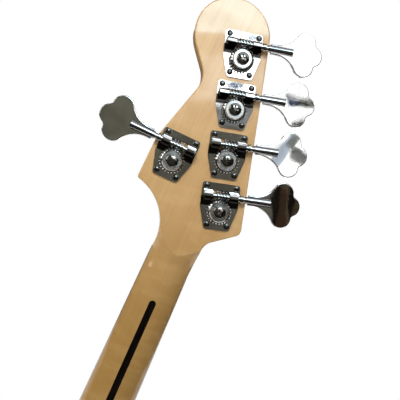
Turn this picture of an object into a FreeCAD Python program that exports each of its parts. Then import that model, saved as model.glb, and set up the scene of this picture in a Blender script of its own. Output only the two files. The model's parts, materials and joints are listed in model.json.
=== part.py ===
import FreeCAD, Part
import math
import os
import re

import Sketcher
from FreeCAD import Placement, Rotation, Vector
from types import SimpleNamespace

# Five-string electric bass guitar, in millimetres.
# +Z runs up the neck, -Y is the front with the strings, +X is the side of the thin strings.
# The origin is the centre of the end strap button's head.

SIZES = (
    # Whole instrument
    ("scale_length", 864, "string length, nut to saddle"),
    ("saddle_from_butt", 85, "butt end of the body to the saddles"),
    ("butt_height", 9, "butt end of the body above the origin"),
    ("body_thickness", 44, "front to back of the body"),
    ("body_width", 334, "widest part of the body"),
    ("body_edge_radius", 9, "rounding of the body's front and back edges"),
    ("bout_height", 132, "butt end to the widest part of the body"),
    ("horn_height", 104, "mouth of the neck pocket to the tip of the long horn"),
    ("pocket_depth", 16, "depth of the neck pocket"),
    ("pocket_length", 70, "heel end to the mouth of the neck pocket"),
    ("joint_gap", 0.15, "gap round a piece let into wood"),
    ("blind_gap", 0.5, "blind hole beyond the end of what goes in"),
    ("turned_edge", 0.6, "small chamfers of turned pieces"),
    # Neck
    ("nut_width", 46.4, "neck width at the nut"),
    ("heel_width", 65.6, "neck width at the heel end"),
    ("heel_thickness", 18.5, "wood of the heel under the fretboard"),
    ("heel_corner", 7, "corner radius of the heel"),
    ("heel_flat", 6, "flat heel beyond the mouth of the neck pocket"),
    ("neck_depth_nut", 14.5, "wood behind the fretboard at the nut"),
    ("neck_depth_heel", 17, "wood behind the fretboard at the heel"),
    ("neck_edge", 0.4, "how far the round back overshoots the neck's edges"),
    ("flare_length", 46, "length of the sweep from round neck to flat wood"),
    ("flare_width", 19, "extra half width where the sweep ends"),
    ("flare_depth", 12.5, "extra depth where the sweep ends"),
    ("flare_below_nut", 16.1, "start of the sweep to the headstock, below the nut"),
    ("flare_shift", 2, "low point of the sweep to the headstock, sideways"),
    ("board_thickness", 6.5, "fretboard thickness in the middle"),
    ("board_radius", 300, "fretboard camber"),
    ("board_tail", 10, "fretboard beyond the last fret"),
    ("fret_count", 21, "number of frets"),
    ("fret_width", 2.6, "fret crown width"),
    ("fret_height", 1.1, "fret crown height"),
    ("tang_width", 0.6, "fret tang width"),
    ("tang_depth", 1.6, "fret tang depth"),
    ("marker_radius", 3.2, "fret marker radius"),
    ("marker_depth", 1.5, "fret marker depth"),
    ("nut_length", 5, "nut along the strings"),
    ("nut_top", 3.1, "top of the nut above the fretboard's top"),
    ("nut_land", 1.5, "level front part of the nut's top"),
    ("nut_slope", 1.2, "fall of the nut's top towards the headstock"),
    ("nut_inset", 0.3, "ends of the nut inside the neck's edges"),
    ("stripe_width", 7, "stripe in the back of the neck"),
    ("stripe_from_nut", 44.5, "nut to the upper end of the stripe"),
    ("stripe_from_heel", 140, "heel end to the lower end of the stripe"),
    ("rod_cover", 1.5, "wood between the truss rod nut's hole and the fretboard"),
    ("rod_radius", 2.7, "truss rod"),
    ("rod_gap", 0.2, "truss rod to its channel"),
    ("rod_nut_radius", 4.8, "truss rod nut"),
    ("rod_nut_length", 12, "truss rod nut along the rod"),
    ("rod_nut_gap", 0.3, "truss rod nut to its hole"),
    ("rod_nut_wall", 3, "closed end of the truss rod nut"),
    ("rod_nut_slot", 1.6, "driver slot in the truss rod nut"),
    ("rod_nut_slot_depth", 2, "driver slot in the truss rod nut"),
    ("rod_access", 5, "room round the truss rod nut for a driver"),
    # Headstock
    ("head_drop", 2.5, "headstock face behind the fretboard's underside"),
    ("head_thickness", 14.5, "headstock wood"),
    ("head_edge", 1.4, "rounding of the headstock's edges"),
    ("row_angle", 15.4, "tuner row against the neck"),
    ("key_angle", 16.2, "key shafts against the crosswise direction"),
    ("first_post_x", -22.5, "post nearest the nut, sideways"),
    ("first_post_z", 61.7, "post nearest the nut, above it"),
    ("row_gap", 4.6, "tuner plate to tuner plate in the row of four"),
    ("lone_post_x", 40.9, "single post, sideways"),
    ("lone_post_z", 88.7, "single post, above the nut"),
    ("post_to_edge", 27, "row of posts to the headstock's edge"),
    ("lone_to_edge", 23.3, "single post to the headstock's edge"),
    ("head_beyond", 24.2, "last post to the centre of the round end, along the row"),
    ("head_offset", 12, "last post to the centre of the round end, across the row"),
    ("shoulder_z", 26.2, "lower shoulder line above the nut"),
    ("shoulder_angle", 37.4, "slope of the lower shoulder"),
    ("shoulder_foot_radius", 15, "curve from the neck's edge into the lower shoulder"),
    ("shoulder_tip_radius", 8, "corner of the lower shoulder"),
    ("horn_z", 61, "pointed shoulder above the nut"),
    ("horn_foot_z", 48.3, "foot of the pointed shoulder's curve above the nut"),
    ("horn_foot_radius", 51, "curve from the neck's edge to the pointed shoulder"),
    ("horn_radius", 2.5, "tip of the pointed shoulder"),
    ("horn_overhang", 1, "tip of the pointed shoulder beyond the edge beside the single post"),
    ("wing_rise", 16.3, "single post to the upper end of the edge beside it"),
    ("wing_radius", 60, "curve of the edge above the single post"),
    ("waist_radius", 26, "curve of the edge below the round end"),
    ("waist_angle", 39.5, "slope of the edge below the round end"),
    # Tuners
    ("plate_thickness", 1.6, "tuner plate"),
    ("plate_beyond", 7.7, "plate beyond the feet of its straps"),
    ("plate_foot", 18, "post to the plate's lower edge"),
    ("plate_top_half", 19.3, "half width at the upper edge"),
    ("plate_foot_half", 12.8, "half width at the lower edge"),
    ("plate_waist", 4, "height of the plate's side corners"),
    ("plate_corner", 3, "corner radius of the plate"),
    ("upper_screw_down", 3.5, "upper screws from the plate's upper edge"),
    ("upper_screw_in", 4.1, "upper screws from the plate's sides"),
    ("lower_screw_up", 4.7, "lower screws from the plate's lower edge"),
    ("lower_screw_in", 2.6, "lower screws from the ends of the lower edge"),
    ("strap_margin", 1.9, "bearing strap to the plate's side"),
    ("strap_width", 8.7, "bearing strap along the key shaft"),
    ("strap_radius", 4.9, "outside of the bearing strap"),
    ("strap_foot", 5.6, "worm axis to the foot of the strap's slope"),
    ("window_gap", 0.6, "room in the plate round the worm"),
    ("journal_overhang", 0.3, "bearing part of the key shaft beyond its straps"),
    ("collar_gap", 0.3, "collar on the key shaft to the plate"),
    ("mesh_depth", 1.7, "how far worm and gear reach into each other"),
    ("bearing_radius", 3.3, "key shaft in its straps"),
    ("running_gap", 0.05, "radial gap of turning pieces"),
    ("thread_margin", 1.84, "ends of the worm's thread to the straps"),
    ("worm_root", 2.9, "worm root radius"),
    ("worm_tip", 4.9, "worm outer radius"),
    ("worm_pitch_radius", 4.05, "worm axis to where worm and gear roll on each other"),
    ("thread_root_width", 1.55, "worm thread at its root"),
    ("thread_tip_width", 0.65, "worm thread at its crest"),
    ("gear_teeth", 24, "teeth of the gear"),
    ("gear_tip", 12.5, "gear outer radius"),
    ("gear_root", 10.4, "gear root radius"),
    ("gear_gap_tip", 2, "tooth gap at the rim"),
    ("gear_gap_root", 1.1, "tooth gap at the root"),
    ("gear_thickness", 4.6, "gear"),
    ("gear_lift", 1.1, "gear above the plate"),
    ("gear_boss_radius", 9.6, "raised ring on the gear"),
    ("gear_boss_height", 1, "raised ring on the gear"),
    ("gear_screw_head", 6.5, "gear screw head radius"),
    ("gear_screw_rise", 2.8, "gear screw head height"),
    ("gear_screw_radius", 1.8, "gear screw thread radius"),
    ("gear_screw_length", 9, "gear screw below its head"),
    ("post_radius", 5, "string post"),
    ("post_spigot", 3, "end of the post inside the gear"),
    ("spigot_gap", 0.2, "end of the post below the gear's top"),
    ("post_room", 1.06, "turns of a string to the cone under the post's flange"),
    ("post_flange", 6.4, "flange at the top of the post"),
    ("post_flange_height", 1.6, "flange at the top of the post"),
    ("post_cone", 1, "cone under the post's flange"),
    ("post_slot_width", 3.7, "string slot in the post"),
    ("post_slot_depth", 5, "string slot in the post"),
    ("bushing_flange", 8.6, "bushing flange radius"),
    ("bushing_flange_height", 1.5, "bushing flange height"),
    ("bushing_sleeve", 6.9, "bushing sleeve radius"),
    ("bushing_length", 8, "bushing sleeve in the wood"),
    ("collar_radius", 4.3, "collar on the key shaft"),
    ("collar_length", 2.6, "collar on the key shaft"),
    ("key_gap", 3, "collar on the key shaft to the key's barrel"),
    ("key_barrel_length", 25.4, "barrel of the key"),
    ("key_barrel_near", 3.7, "barrel radius, near end"),
    ("key_barrel_far", 4.2, "barrel radius, far end"),
    ("key_shaft_radius", 2.9, "key shaft inside the barrel"),
    ("key_shaft_depth", 10, "key shaft inside the barrel"),
    ("paddle_in", 2.4, "near end of the barrel to the paddle's neck"),
    ("paddle_thickness", 3.2, "paddle"),
    ("paddle_neck_half", 5.2, "half width of the paddle's neck"),
    ("paddle_flare", 24, "radius from the neck to a side lobe"),
    ("side_lobe_in", 38.3, "near end of the barrel to a side lobe's centre"),
    ("side_lobe_across", 12.4, "shaft axis to a side lobe's centre"),
    ("side_lobe_radius", 10.7, "side lobe"),
    ("end_lobe_in", 46.4, "near end of the barrel to the end lobe's centre"),
    ("end_lobe_radius", 10.6, "end lobe"),
    ("lobe_notch", 3.5, "radius of the notch between lobes"),
    ("paddle_edge", 1, "rounding of the paddle's edges"),
    ("plate_screw_radius", 1.4, "tuner plate screw thread radius"),
    ("plate_screw_head", 3.1, "tuner plate screw head radius"),
    ("plate_screw_rise", 1.5, "tuner plate screw head height"),
    ("plate_screw_length", 10, "tuner plate screw below its head"),
    ("retainer_z", 82, "string retainer above the nut"),
    ("retainer_radius", 8, "string retainer disc"),
    ("retainer_stem", 2.6, "string retainer stem radius"),
    ("retainer_gap", 0.3, "string retainer disc to its strings"),
    ("retainer_thickness", 2, "string retainer disc"),
    ("retainer_tail", 9, "string retainer thread in the wood"),
    # Strings
    ("thickest_string", 3.3, "string diameter"),
    ("thick_string", 2.67, "string diameter"),
    ("middle_string", 2.16, "string diameter"),
    ("thin_string", 1.65, "string diameter"),
    ("thinnest_string", 1.14, "string diameter"),
    ("nut_spacing", 9.5, "string to string at the nut"),
    ("saddle_spacing", 18, "string to string at the saddles"),
    ("string_rise_nut", 1.6, "string above the fretboard's plane at the nut"),
    ("string_rise_saddle", 5.4, "string above the fretboard's plane at the saddle"),
    ("winding_gap", 0.45, "gap between turns on a post"),
    ("winding_lift", 0.15, "string to post surface"),
    ("winding_start", 0.6, "bushing to the first turn"),
    ("string_bend", 10, "bend radius of a string at nut and bridge"),
    ("string_lead", 5, "straight end of a string before its turns"),
    ("ball_radius", 3, "ball end of a string"),
    ("ball_length", 5, "ball end of a string"),
    ("ball_gap", 0.3, "ball end of a string to the bridge's wall"),
    ("ball_clearance", 0.85, "ball end of a string to the intonation screw's head"),
    # Body hardware
    ("neck_plate_width", 52, "neck plate, sideways"),
    ("neck_plate_thickness", 2, "neck plate"),
    ("neck_plate_margin", 4, "neck plate inside the ends of the pocket"),
    ("neck_plate_corner", 4.5, "corner radius of the neck plate"),
    ("neck_screw_inset", 6.8, "neck screws from the plate's edges"),
    ("neck_screw_radius", 2.5, "neck screw thread radius"),
    ("neck_screw_head", 4.9, "neck screw head radius"),
    ("neck_screw_rise", 2.6, "neck screw head height"),
    ("neck_screw_bite", 13, "neck screw in the heel"),
    ("bridge_margin", 14, "outer strings to the sides of the bridge"),
    ("bridge_thickness", 2.5, "bridge plate and its wall"),
    ("bridge_back", 32, "saddles to the back of the bridge's wall"),
    ("bridge_front", 14, "saddles to the front of the bridge plate"),
    ("bridge_corner", 5, "front corners of the bridge plate"),
    ("bridge_back_corner", 2, "back corners of the bridge plate"),
    ("bridge_screw_inset", 5, "bridge screws from the plate's front"),
    ("bridge_wall_over", 1.3, "bridge's wall above its string holes"),
    ("bridge_wall_corner", 4, "upper corners of the bridge's wall"),
    ("string_hole", 2.2, "string hole in the bridge's wall"),
    ("string_break", 8, "saddle to the bend of the string behind it"),
    ("saddle_radius", 4.5, "saddle barrel"),
    ("saddle_between", 1.4, "saddle to saddle"),
    ("saddle_gap", 0.05, "saddle to string"),
    ("saddle_screw_drop", 2.5, "intonation screw below the barrel's axis"),
    ("saddle_screw_radius", 1.5, "intonation and height screws"),
    ("saddle_screw_head", 2.8, "intonation screw head radius"),
    ("saddle_screw_rise", 2.4, "intonation screw head height"),
    ("saddle_screw_beyond", 6, "intonation screw beyond the saddle"),
    ("height_screw_half", 5.4, "half spacing of a saddle's height screws"),
    ("height_screw_sink", 1.2, "height screw end below the barrel's top"),
    ("pickup_end", 9.6, "outer pole pieces to the pickup's ends"),
    ("pickup_width", 20, "pickup along the strings"),
    ("pickup_rise", 8, "pickup above the body"),
    ("pickup_sink", 15, "pickup in the body"),
    ("pickup_corner", 4, "corner radius of a pickup"),
    ("pickup_edge", 1.5, "rounding of a pickup's top"),
    ("bridge_pickup_z", 58, "saddles to the bridge pickup"),
    ("neck_pickup_z", 150, "saddles to the neck pickup"),
    ("pole_radius", 2.4, "pole piece"),
    ("pole_half", 4, "half spacing of a string's two pole pieces"),
    ("pole_rise", 0.8, "pole piece above the cover"),
    ("pickup_screw_inset", 4.2, "pickup screw from the cover's end"),
    ("pickup_screw_length", 32, "pickup screw below its head"),
    ("control_from_pickup", 27, "end of a pickup to the first knob, sideways"),
    ("control_from_side", 52, "widest part of the body to the output jack, sideways"),
    ("control_z", 112, "middle of the control plate above the butt end"),
    ("control_tab", 12, "control plate beyond the ends of the cavity"),
    ("control_thickness", 1.5, "control plate"),
    ("control_spacing", 32, "knob to knob"),
    ("control_screw_inset", 5, "control plate screws from its ends"),
    ("cavity_depth", 32, "control cavity"),
    ("cavity_lip", 4, "control plate beyond the sides of the cavity"),
    ("cavity_room", 1, "potentiometer cans to the sides of the cavity"),
    ("knob_radius", 9.5, "knob foot"),
    ("knob_top_radius", 8.4, "knob top"),
    ("knob_height", 16, "knob"),
    ("knob_gap", 3.2, "knob above its plate"),
    ("knob_edge", 1.2, "rounding of the knob's top"),
    ("knob_skirt", 1.5, "straight foot of the knob"),
    ("shaft_radius", 3, "potentiometer shaft"),
    ("shaft_in_knob", 11, "potentiometer shaft inside the knob"),
    ("pot_radius", 12, "potentiometer can"),
    ("pot_height", 10, "potentiometer can"),
    ("pot_drop", 2.5, "control plate to the can"),
    ("pot_well", 2, "shaft bearing inside the potentiometer can"),
    ("pot_shoulder", 2, "shoulder of the potentiometer under the plate"),
    ("pot_bush", 4.7, "potentiometer bushing"),
    ("pot_bush_rise", 2.2, "potentiometer bushing and nut above the plate"),
    ("pot_nut", 6.5, "potentiometer nut radius"),
    ("jack_bore", 3.25, "plug hole of the output jack"),
    ("jack_bush", 4.7, "output jack bushing"),
    ("jack_nut", 7.2, "output jack nut radius"),
    ("jack_nut_height", 2.6, "output jack nut height"),
    ("jack_lip", 1, "output jack bushing beyond its nut"),
    ("jack_can", 9, "output jack housing radius"),
    ("jack_length", 20, "output jack behind the plate"),
    ("body_screw_radius", 1.6, "body screw thread radius"),
    ("body_screw_head", 3.5, "body screw head radius"),
    ("body_screw_rise", 2, "body screw head height"),
    ("body_screw_length", 20, "body screw below its head"),
    ("button_head", 7, "strap button head radius"),
    ("button_head_half", 2, "half height of the strap button's head"),
    ("button_stem", 4.2, "strap button stem radius"),
    ("button_foot", 6.6, "strap button foot radius"),
    ("button_foot_height", 1.6, "strap button foot height"),
    ("button_sink", 1.2, "strap button's foot below the horn's outline"),
    ("button_seat_gap", 0.4, "strap button's foot to its seat in the wood"),
    ("recess_gap", 0.2, "screw head to the recess in the strap button"),
    ("screw_gap", 0.05, "radial gap round a screw"),
)

STRING_SIZES = ("thickest_string", "thick_string", "middle_string", "thin_string", "thinnest_string")
WINDING_TURNS = (2.25, 2.75, 2.75, 3.25, 3.75)  # turns of each string on its post
WINDINGS = [f"{size} + {turns} * ({size} + winding_gap)" for size, turns in zip(STRING_SIZES, WINDING_TURNS)]

# Sizes that follow from the ones above
FOLLOWING = {
    "worm_height": "plate_thickness + gear_lift + gear_thickness / 2",
    "worm_offset": "gear_tip + worm_tip - mesh_depth",
    "thread_pitch": "2 * pi * (worm_offset - worm_pitch_radius) / gear_teeth",
    "thread_turns": "2 * (strap_inner - thread_margin) / thread_pitch",
    "strap_outer": "plate_top_half - strap_margin",
    "strap_inner": "strap_outer - strap_width",
    "plate_top": "worm_offset + strap_foot + plate_beyond",
    "upper_screw_x": "plate_top_half - upper_screw_in",
    "upper_screw_y": "plate_top - upper_screw_down",
    "lower_screw_x": "plate_foot_half - lower_screw_in",
    "lower_screw_y": "plate_foot - lower_screw_up",
    "post_spacing": "plate_top + plate_foot + row_gap",
    "post_height": f"bushing_flange_height + winding_start + max({', '.join(WINDINGS)}) + post_room"
                   " + post_cone + post_flange_height",
    "key_start": "plate_top_half + collar_gap + collar_length + key_gap",
    "neck_screw_length": "body_thickness - pocket_depth + neck_plate_thickness + neck_screw_bite",
    "saddle_length": "saddle_spacing - saddle_between",
    "string_span": f"saddle_spacing * {len(STRING_SIZES) - 1}",
    "bridge_width": "string_span + 2 * bridge_margin",
    "pickup_length": "string_span + 2 * (pole_half + pole_radius + pickup_end)",
    "cavity_radius": "pot_radius + cavity_room",
}
ROW_OF_TUNERS = tuple(range(4, 0, -1))          # the tuners on one side, from the nut upwards
LONE_TUNER = len(ROW_OF_TUNERS) + 1             # the tuner on the other side
TUNER_OF_STRING = ROW_OF_TUNERS + (LONE_TUNER,)
FRETS_PER_OCTAVE = 12
MARKED_FRETS = (3, 5, 7, 9, 12, 15, 17, 19, 21)
CUTTER_REACH = 1.0                              # how far cutters reach past what they cut
FUSE_REACH = 0.3                                # how far joined forms reach into each other
FAR = 500                                       # beyond the edge of any piece
SAME = 1e-6                                     # nearer than this counts as the same place
SHORTEST = 1e-4                                 # shortest edge that is made

doc = FreeCAD.newDocument("bass_guitar")
sheet = doc.addObject("Spreadsheet::Sheet", "Sizes")
for row, (alias, value, note) in enumerate(SIZES, start=1):
    sheet.set(f"A{row}", note)
    sheet.set(f"B{row}", str(value))
    sheet.setAlias(f"B{row}", alias)
doc.recompute()
ALIASES = {alias for alias, value, note in SIZES}


def written_out(expression, prefix=""):
    """The expression with what each following size follows from, and a prefix on the other sizes' names."""
    def word(match):
        name = match.group(0)
        if name in FOLLOWING:
            return f"({written_out(FOLLOWING[name], prefix)})"
        return prefix + name if name in ALIASES else name

    return re.sub(r"[a-z][a-z_]*", word, expression)


def bound(expression):
    """The expression with each size name pointing at the sheet."""
    return written_out(expression, "Sizes.")


def value_of(expression):
    return float(sheet.evalExpression(written_out(expression)))


S = SimpleNamespace(**{name: value_of(name) for name in [*ALIASES, *FOLLOWING]})
GAUGES = [getattr(S, size) for size in STRING_SIZES]

nodes = {}


# Levels and places that several pieces share

FRONT = -S.body_thickness / 2
BACK = S.body_thickness / 2
POCKET = FRONT + S.pocket_depth
BOARD_UNDER = POCKET - S.heel_thickness
BOARD_TOP = BOARD_UNDER - S.board_thickness
HEAD_FRONT = BOARD_UNDER + S.head_drop
HEAD_BACK = HEAD_FRONT + S.head_thickness
SADDLE_Z = S.butt_height + S.saddle_from_butt
NUT_Z = SADDLE_Z + S.scale_length
BRIDGE_TOP = FRONT - S.bridge_thickness
STRING_UNDER_SADDLE = BOARD_TOP - S.string_rise_saddle
STRING_UNDER_NUT = BOARD_TOP - S.string_rise_nut
SADDLE_Y = STRING_UNDER_SADDLE + S.saddle_gap + S.saddle_radius
SADDLE_SCREW_Y = SADDLE_Y + S.saddle_screw_drop
CONTROL_TOP = FRONT - S.control_thickness
GEAR_BASE = S.plate_thickness + S.gear_lift
GEAR_TOP = GEAR_BASE + S.gear_thickness
ROD_Y = BOARD_UNDER + S.rod_cover + S.rod_nut_gap + S.rod_nut_radius
ROD_FLOOR = ROD_Y - S.rod_radius - S.rod_gap
STRING_HOLE_Y = SADDLE_SCREW_Y - S.saddle_screw_head - S.ball_clearance - S.ball_radius
BRIDGE_WALL_TOP = STRING_HOLE_Y - S.string_hole - S.bridge_wall_over
STRINGS = range(len(GAUGES))
RETAINED_STRINGS = STRINGS[2:4]  # strings that the retainer holds down
MIDDLE_STRING = (len(GAUGES) - 1) / 2
KNOBS = range(3)
CONTROLS = range(len(KNOBS) + 1)  # the knobs and the output jack
CONTROL_REACH = S.control_spacing * (len(CONTROLS) - 1) / 2
FACING_FRONT = Rotation(Vector(1, 0, 0), 90)
FACING_BACK = Rotation(Vector(1, 0, 0), -90)


def fret_distance(number):
    """Distance from the nut to a fret."""
    return S.scale_length * (1 - 2 ** (-number / FRETS_PER_OCTAVE))


HEEL_Z = NUT_Z - fret_distance(S.fret_count) - S.board_tail
MOUTH_Z = HEEL_Z + S.pocket_length
STRIPE_TOP = NUT_Z - S.stripe_from_nut
STRIPE_FOOT = HEEL_Z + S.stripe_from_heel


def half_width(z):
    """Half the neck's width at a height."""
    slope = (S.heel_width - S.nut_width) / (NUT_Z - HEEL_Z)
    return (S.nut_width + slope * (NUT_Z - z)) / 2


def nut_x(string):
    return (string - MIDDLE_STRING) * S.nut_spacing


def saddle_x(string):
    return (string - MIDDLE_STRING) * S.saddle_spacing


ROW = Vector(math.sin(math.radians(S.row_angle)), 0, math.cos(math.radians(S.row_angle)))
ACROSS_ROW = Vector(ROW.z, 0, -ROW.x)
FIRST_POST = Vector(S.first_post_x, HEAD_BACK, NUT_Z + S.first_post_z)
POSTS = {tuner: FIRST_POST + ROW * (S.post_spacing * step) for step, tuner in enumerate(ROW_OF_TUNERS)}
POSTS[LONE_TUNER] = Vector(S.lone_post_x, HEAD_BACK, NUT_Z + S.lone_post_z)


def tuner_place(tuner):
    """Placement of a tuner's own frame: x along the key shaft, y from post to worm, z out of the back."""
    angle = 0 if tuner == LONE_TUNER else math.radians(S.key_angle)
    key_way = Vector(-math.cos(angle), 0, math.sin(angle))
    worm_way = Vector(math.sin(angle), 0, math.cos(angle))
    out = Vector(0, 1, 0)
    return Placement(POSTS[tuner], Rotation(key_way, worm_way, out, "ZXY"))


def handed(shape, tuner):
    """The single tuner is the mirror image of the others."""
    if tuner == LONE_TUNER:
        return shape.mirror(Vector(0, 0, 0), Vector(1, 0, 0))
    return shape.copy()


# Building helpers


def add_sketch(body, role, polygons=(), circles=(), level="0"):
    """A sketch on an origin plane of the body, with every point and radius bound to the sheet."""
    sketch = body.newObject("Sketcher::SketchObject", body.Label + "_sketch")
    plane = next(feature for feature in body.Origin.OriginFeatures if feature.Role == role)
    sketch.AttachmentSupport = (plane, [""])
    sketch.MapMode = "FlatFace"
    sketch.setExpression("AttachmentOffset.Base.z", bound(level))

    def fix(kind, geometry, point, expression):
        value = value_of(expression)
        where = (geometry, value) if point is None else (geometry, point, value)
        index = sketch.addConstraint(Sketcher.Constraint(kind, *where))
        sketch.setExpression(f"Constraints[{index}]", bound(expression))

    for polygon in polygons:
        first = sketch.GeometryCount
        corners = [Vector(value_of(across), value_of(along), 0) for across, along in polygon]
        for here, there in zip(corners, corners[1:] + corners[:1]):
            sketch.addGeometry(Part.LineSegment(here, there))
        for step in range(len(corners)):
            after = first + (step + 1) % len(corners)
            sketch.addConstraint(Sketcher.Constraint("Coincident", first + step, 2, after, 1))
        for step, (across, along) in enumerate(polygon):
            fix("DistanceX", first + step, 1, across)
            fix("DistanceY", first + step, 1, along)
    for across, along, radius in circles:
        centre = Vector(value_of(across), value_of(along), 0)
        ring = Part.Circle(centre, Vector(0, 0, 1), value_of(radius))
        index = sketch.addGeometry(ring)
        fix("DistanceX", index, 3, across)
        fix("DistanceY", index, 3, along)
        fix("Radius", index, None, radius)
    return sketch


def new_body(label):
    body = doc.addObject("PartDesign::Body", label)
    body.Label = label
    return body


def add_feature(body, kind, sketch, **settings):
    """A pad, pocket or revolution of a sketch; text settings are expressions."""
    feature = body.newObject("PartDesign::" + kind, f"{body.Label}_{kind.lower()}")
    feature.Profile = sketch
    for name, setting in settings.items():
        if name in ("Length", "Length2"):
            feature.setExpression(name, bound(setting))
        else:
            setattr(feature, name, setting)
    doc.recompute()
    return feature


def add_fillet(body, radius, wanted):
    """Round the edges of the body's tip that the test picks out."""
    base = body.Tip
    picked = [f"Edge{number}" for number, edge in enumerate(base.Shape.Edges, start=1) if wanted(edge)]
    fillet = body.newObject("PartDesign::Fillet", body.Label + "_fillet")
    fillet.Base = (base, picked)
    fillet.setExpression("Radius", bound(radius))
    doc.recompute()
    return fillet


def upright(edge):
    """True for a straight edge along the body's own z axis."""
    ends = edge.Vertexes
    if len(ends) != 2:
        return False
    step = ends[1].Point - ends[0].Point
    return math.hypot(step.x, step.y) < SAME


def turned_body(label, profile):
    """A body turned round its own z axis from a profile of (radius, height) expressions."""
    body = new_body(label)
    sketch = add_sketch(body, "XZ_Plane", polygons=[profile])
    add_feature(body, "Revolution", sketch, ReferenceAxis=(sketch, ["V_Axis"]))
    return body


HEAD_RIM = 0.45    # upright rim of a screw head against its height
HEAD_CROWN = 0.55  # flat crown of a screw head against its radius
POINT_SLOPE = 1.5  # length of a screw's point against its radius


def screw_body(label, prefix, length=None):
    """A pan-head screw with its head's underside at z = 0 and its point at -z."""
    length = length or prefix + "_length"
    radius = prefix + "_radius"
    head = prefix + "_head"
    rise = prefix + "_rise"
    body = turned_body(label, [
        ("0", f"-{length}"), (radius, f"-{length} + {POINT_SLOPE} * {radius}"), (radius, "0"), (head, "0"),
        (head, f"{rise} * {HEAD_RIM}"), (f"{head} * {HEAD_CROWN}", rise), ("0", rise)])
    return body


def export_body(label, body, place=None):
    """Give a finished body its place and list it as a node."""
    body.Label = label
    if place is not None:
        body.Placement = place
    nodes[label] = body


def export_shape(label, shape, place=None):
    """A node whose form is worked out in code."""
    feature = doc.addObject("Part::Feature", label)
    feature.Label = label
    feature.Shape = shape
    if place is not None:
        feature.Placement = place.multiply(shape.Placement)
    nodes[label] = feature


def copies(shape, places):
    """Copies of a shape at several placements, as one group of solids."""
    made = []
    for place in places:
        piece = shape.copy()
        piece.Placement = place.multiply(shape.Placement)
        made.append(piece)
    return Part.makeCompound(made)


def meet(start, way, other_start, other_way):
    """Where two lines of the x-z plane cross."""
    across = way.x * other_way.z - way.z * other_way.x
    gap = other_start - start
    return start + way * ((gap.x * other_way.z - gap.z * other_way.x) / across)


def rounded_wire(corners):
    """Closed wire through (point, radius) corners with tangent arcs; a radius is limited by its edges."""
    count = len(corners)
    points = [point for point, radius in corners]
    cuts = []
    bends = []
    for index, (point, radius) in enumerate(corners):
        back = (points[index - 1] - point).normalize()
        ahead = (points[(index + 1) % count] - point).normalize()
        half = back.getAngle(ahead) / 2
        bends.append((back, ahead, half))
        cuts.append(radius / math.tan(half))
    for index in range(count):
        after = (index + 1) % count
        room = points[index].distanceToPoint(points[after])
        if cuts[index] + cuts[after] > room:
            share = room / (cuts[index] + cuts[after])
            cuts[index] *= share
            cuts[after] *= share
    edges = []
    starts = []
    ends = []
    for point, cut, (back, ahead, half) in zip(points, cuts, bends):
        starts.append(point + back * cut)
        ends.append(point + ahead * cut)
    for index, (point, cut, (back, ahead, half)) in enumerate(zip(points, cuts, bends)):
        if cut > SAME:
            radius = cut * math.tan(half)
            inward = (back + ahead).normalize()
            middle = point + inward * (radius / math.sin(half) - radius)
            edges.append(Part.Arc(starts[index], middle, ends[index]).toShape())
        after = starts[(index + 1) % count]
        if ends[index].distanceToPoint(after) > SHORTEST:
            edges.append(Part.makeLine(ends[index], after))
    return Part.Wire(Part.__sortEdges__(edges))


def plan_prism(corners, level, depth):
    """Prism along y of an outline given as ((x, z), radius) corners."""
    wire = rounded_wire([(Vector(x, level, z), radius) for (x, z), radius in corners])
    return Part.Face(wire).extrude(Vector(0, depth, 0))


def rod_between(start, end, radius):
    """Cylinder between two points."""
    way = end - start
    return Part.makeCylinder(radius, way.Length, start, way)


def box_between(low, high):
    """Box between two opposite corners."""
    return Part.makeBox(high.x - low.x, high.y - low.y, high.z - low.z, low)


# Neck and headstock


def headstock_corners():
    """Outline from the neck's thick-string edge, over the round end, to its thin-string edge."""
    edge_start = FIRST_POST - ACROSS_ROW * S.post_to_edge
    shoulder = math.radians(S.shoulder_angle)
    shoulder_foot = Vector(-half_width(NUT_Z + S.shoulder_z), HEAD_BACK, NUT_Z + S.shoulder_z)
    shoulder_way = Vector(-math.cos(shoulder), 0, math.sin(shoulder))
    low_corner = meet(edge_start, ROW, shoulder_foot, shoulder_way)
    radius = S.post_to_edge + S.head_offset
    centre = POSTS[1] + ROW * S.head_beyond + ACROSS_ROW * S.head_offset
    waist = math.radians(S.waist_angle)
    down = Vector(-math.sin(waist), 0, -math.cos(waist))
    over = (ROW - down).normalize()
    over_way = Vector(over.z, 0, -over.x)
    if over_way.dot(ACROSS_ROW) < 0:
        over_way = over_way * -1

    def tangent_point(way):
        return centre + Vector(-way.z, 0, way.x) * radius

    first_turn = meet(tangent_point(ROW), ROW, tangent_point(over_way), over_way)
    second_turn = meet(tangent_point(over_way), over_way, tangent_point(down), down)
    wing_x = S.lone_post_x + S.lone_to_edge
    wing = Vector(wing_x, HEAD_BACK, NUT_Z + S.lone_post_z + S.wing_rise)
    lean = Vector(-ROW.x, 0, ROW.z)
    waist_point = meet(tangent_point(down), down, wing, lean)
    horn_foot_z = NUT_Z + S.horn_foot_z
    return [
        ((shoulder_foot.x, shoulder_foot.z), S.shoulder_foot_radius),
        ((low_corner.x, low_corner.z), S.shoulder_tip_radius),
        ((first_turn.x, first_turn.z), radius),
        ((second_turn.x, second_turn.z), radius),
        ((waist_point.x, waist_point.z), S.waist_radius),
        ((wing.x, wing.z), S.wing_radius),
        ((wing_x + S.horn_overhang, NUT_Z + S.horn_z), S.horn_radius),
        ((half_width(horn_foot_z), horn_foot_z), S.horn_foot_radius)]


def heel_corners(gap, top):
    """Outline of the heel up to a height, grown by a gap."""
    low = HEEL_Z - gap
    return [
        ((-half_width(low) - gap, low), S.heel_corner),
        ((half_width(low) + gap, low), S.heel_corner),
        ((half_width(top) + gap, top), 0),
        ((-half_width(top) - gap, top), 0)]


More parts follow.
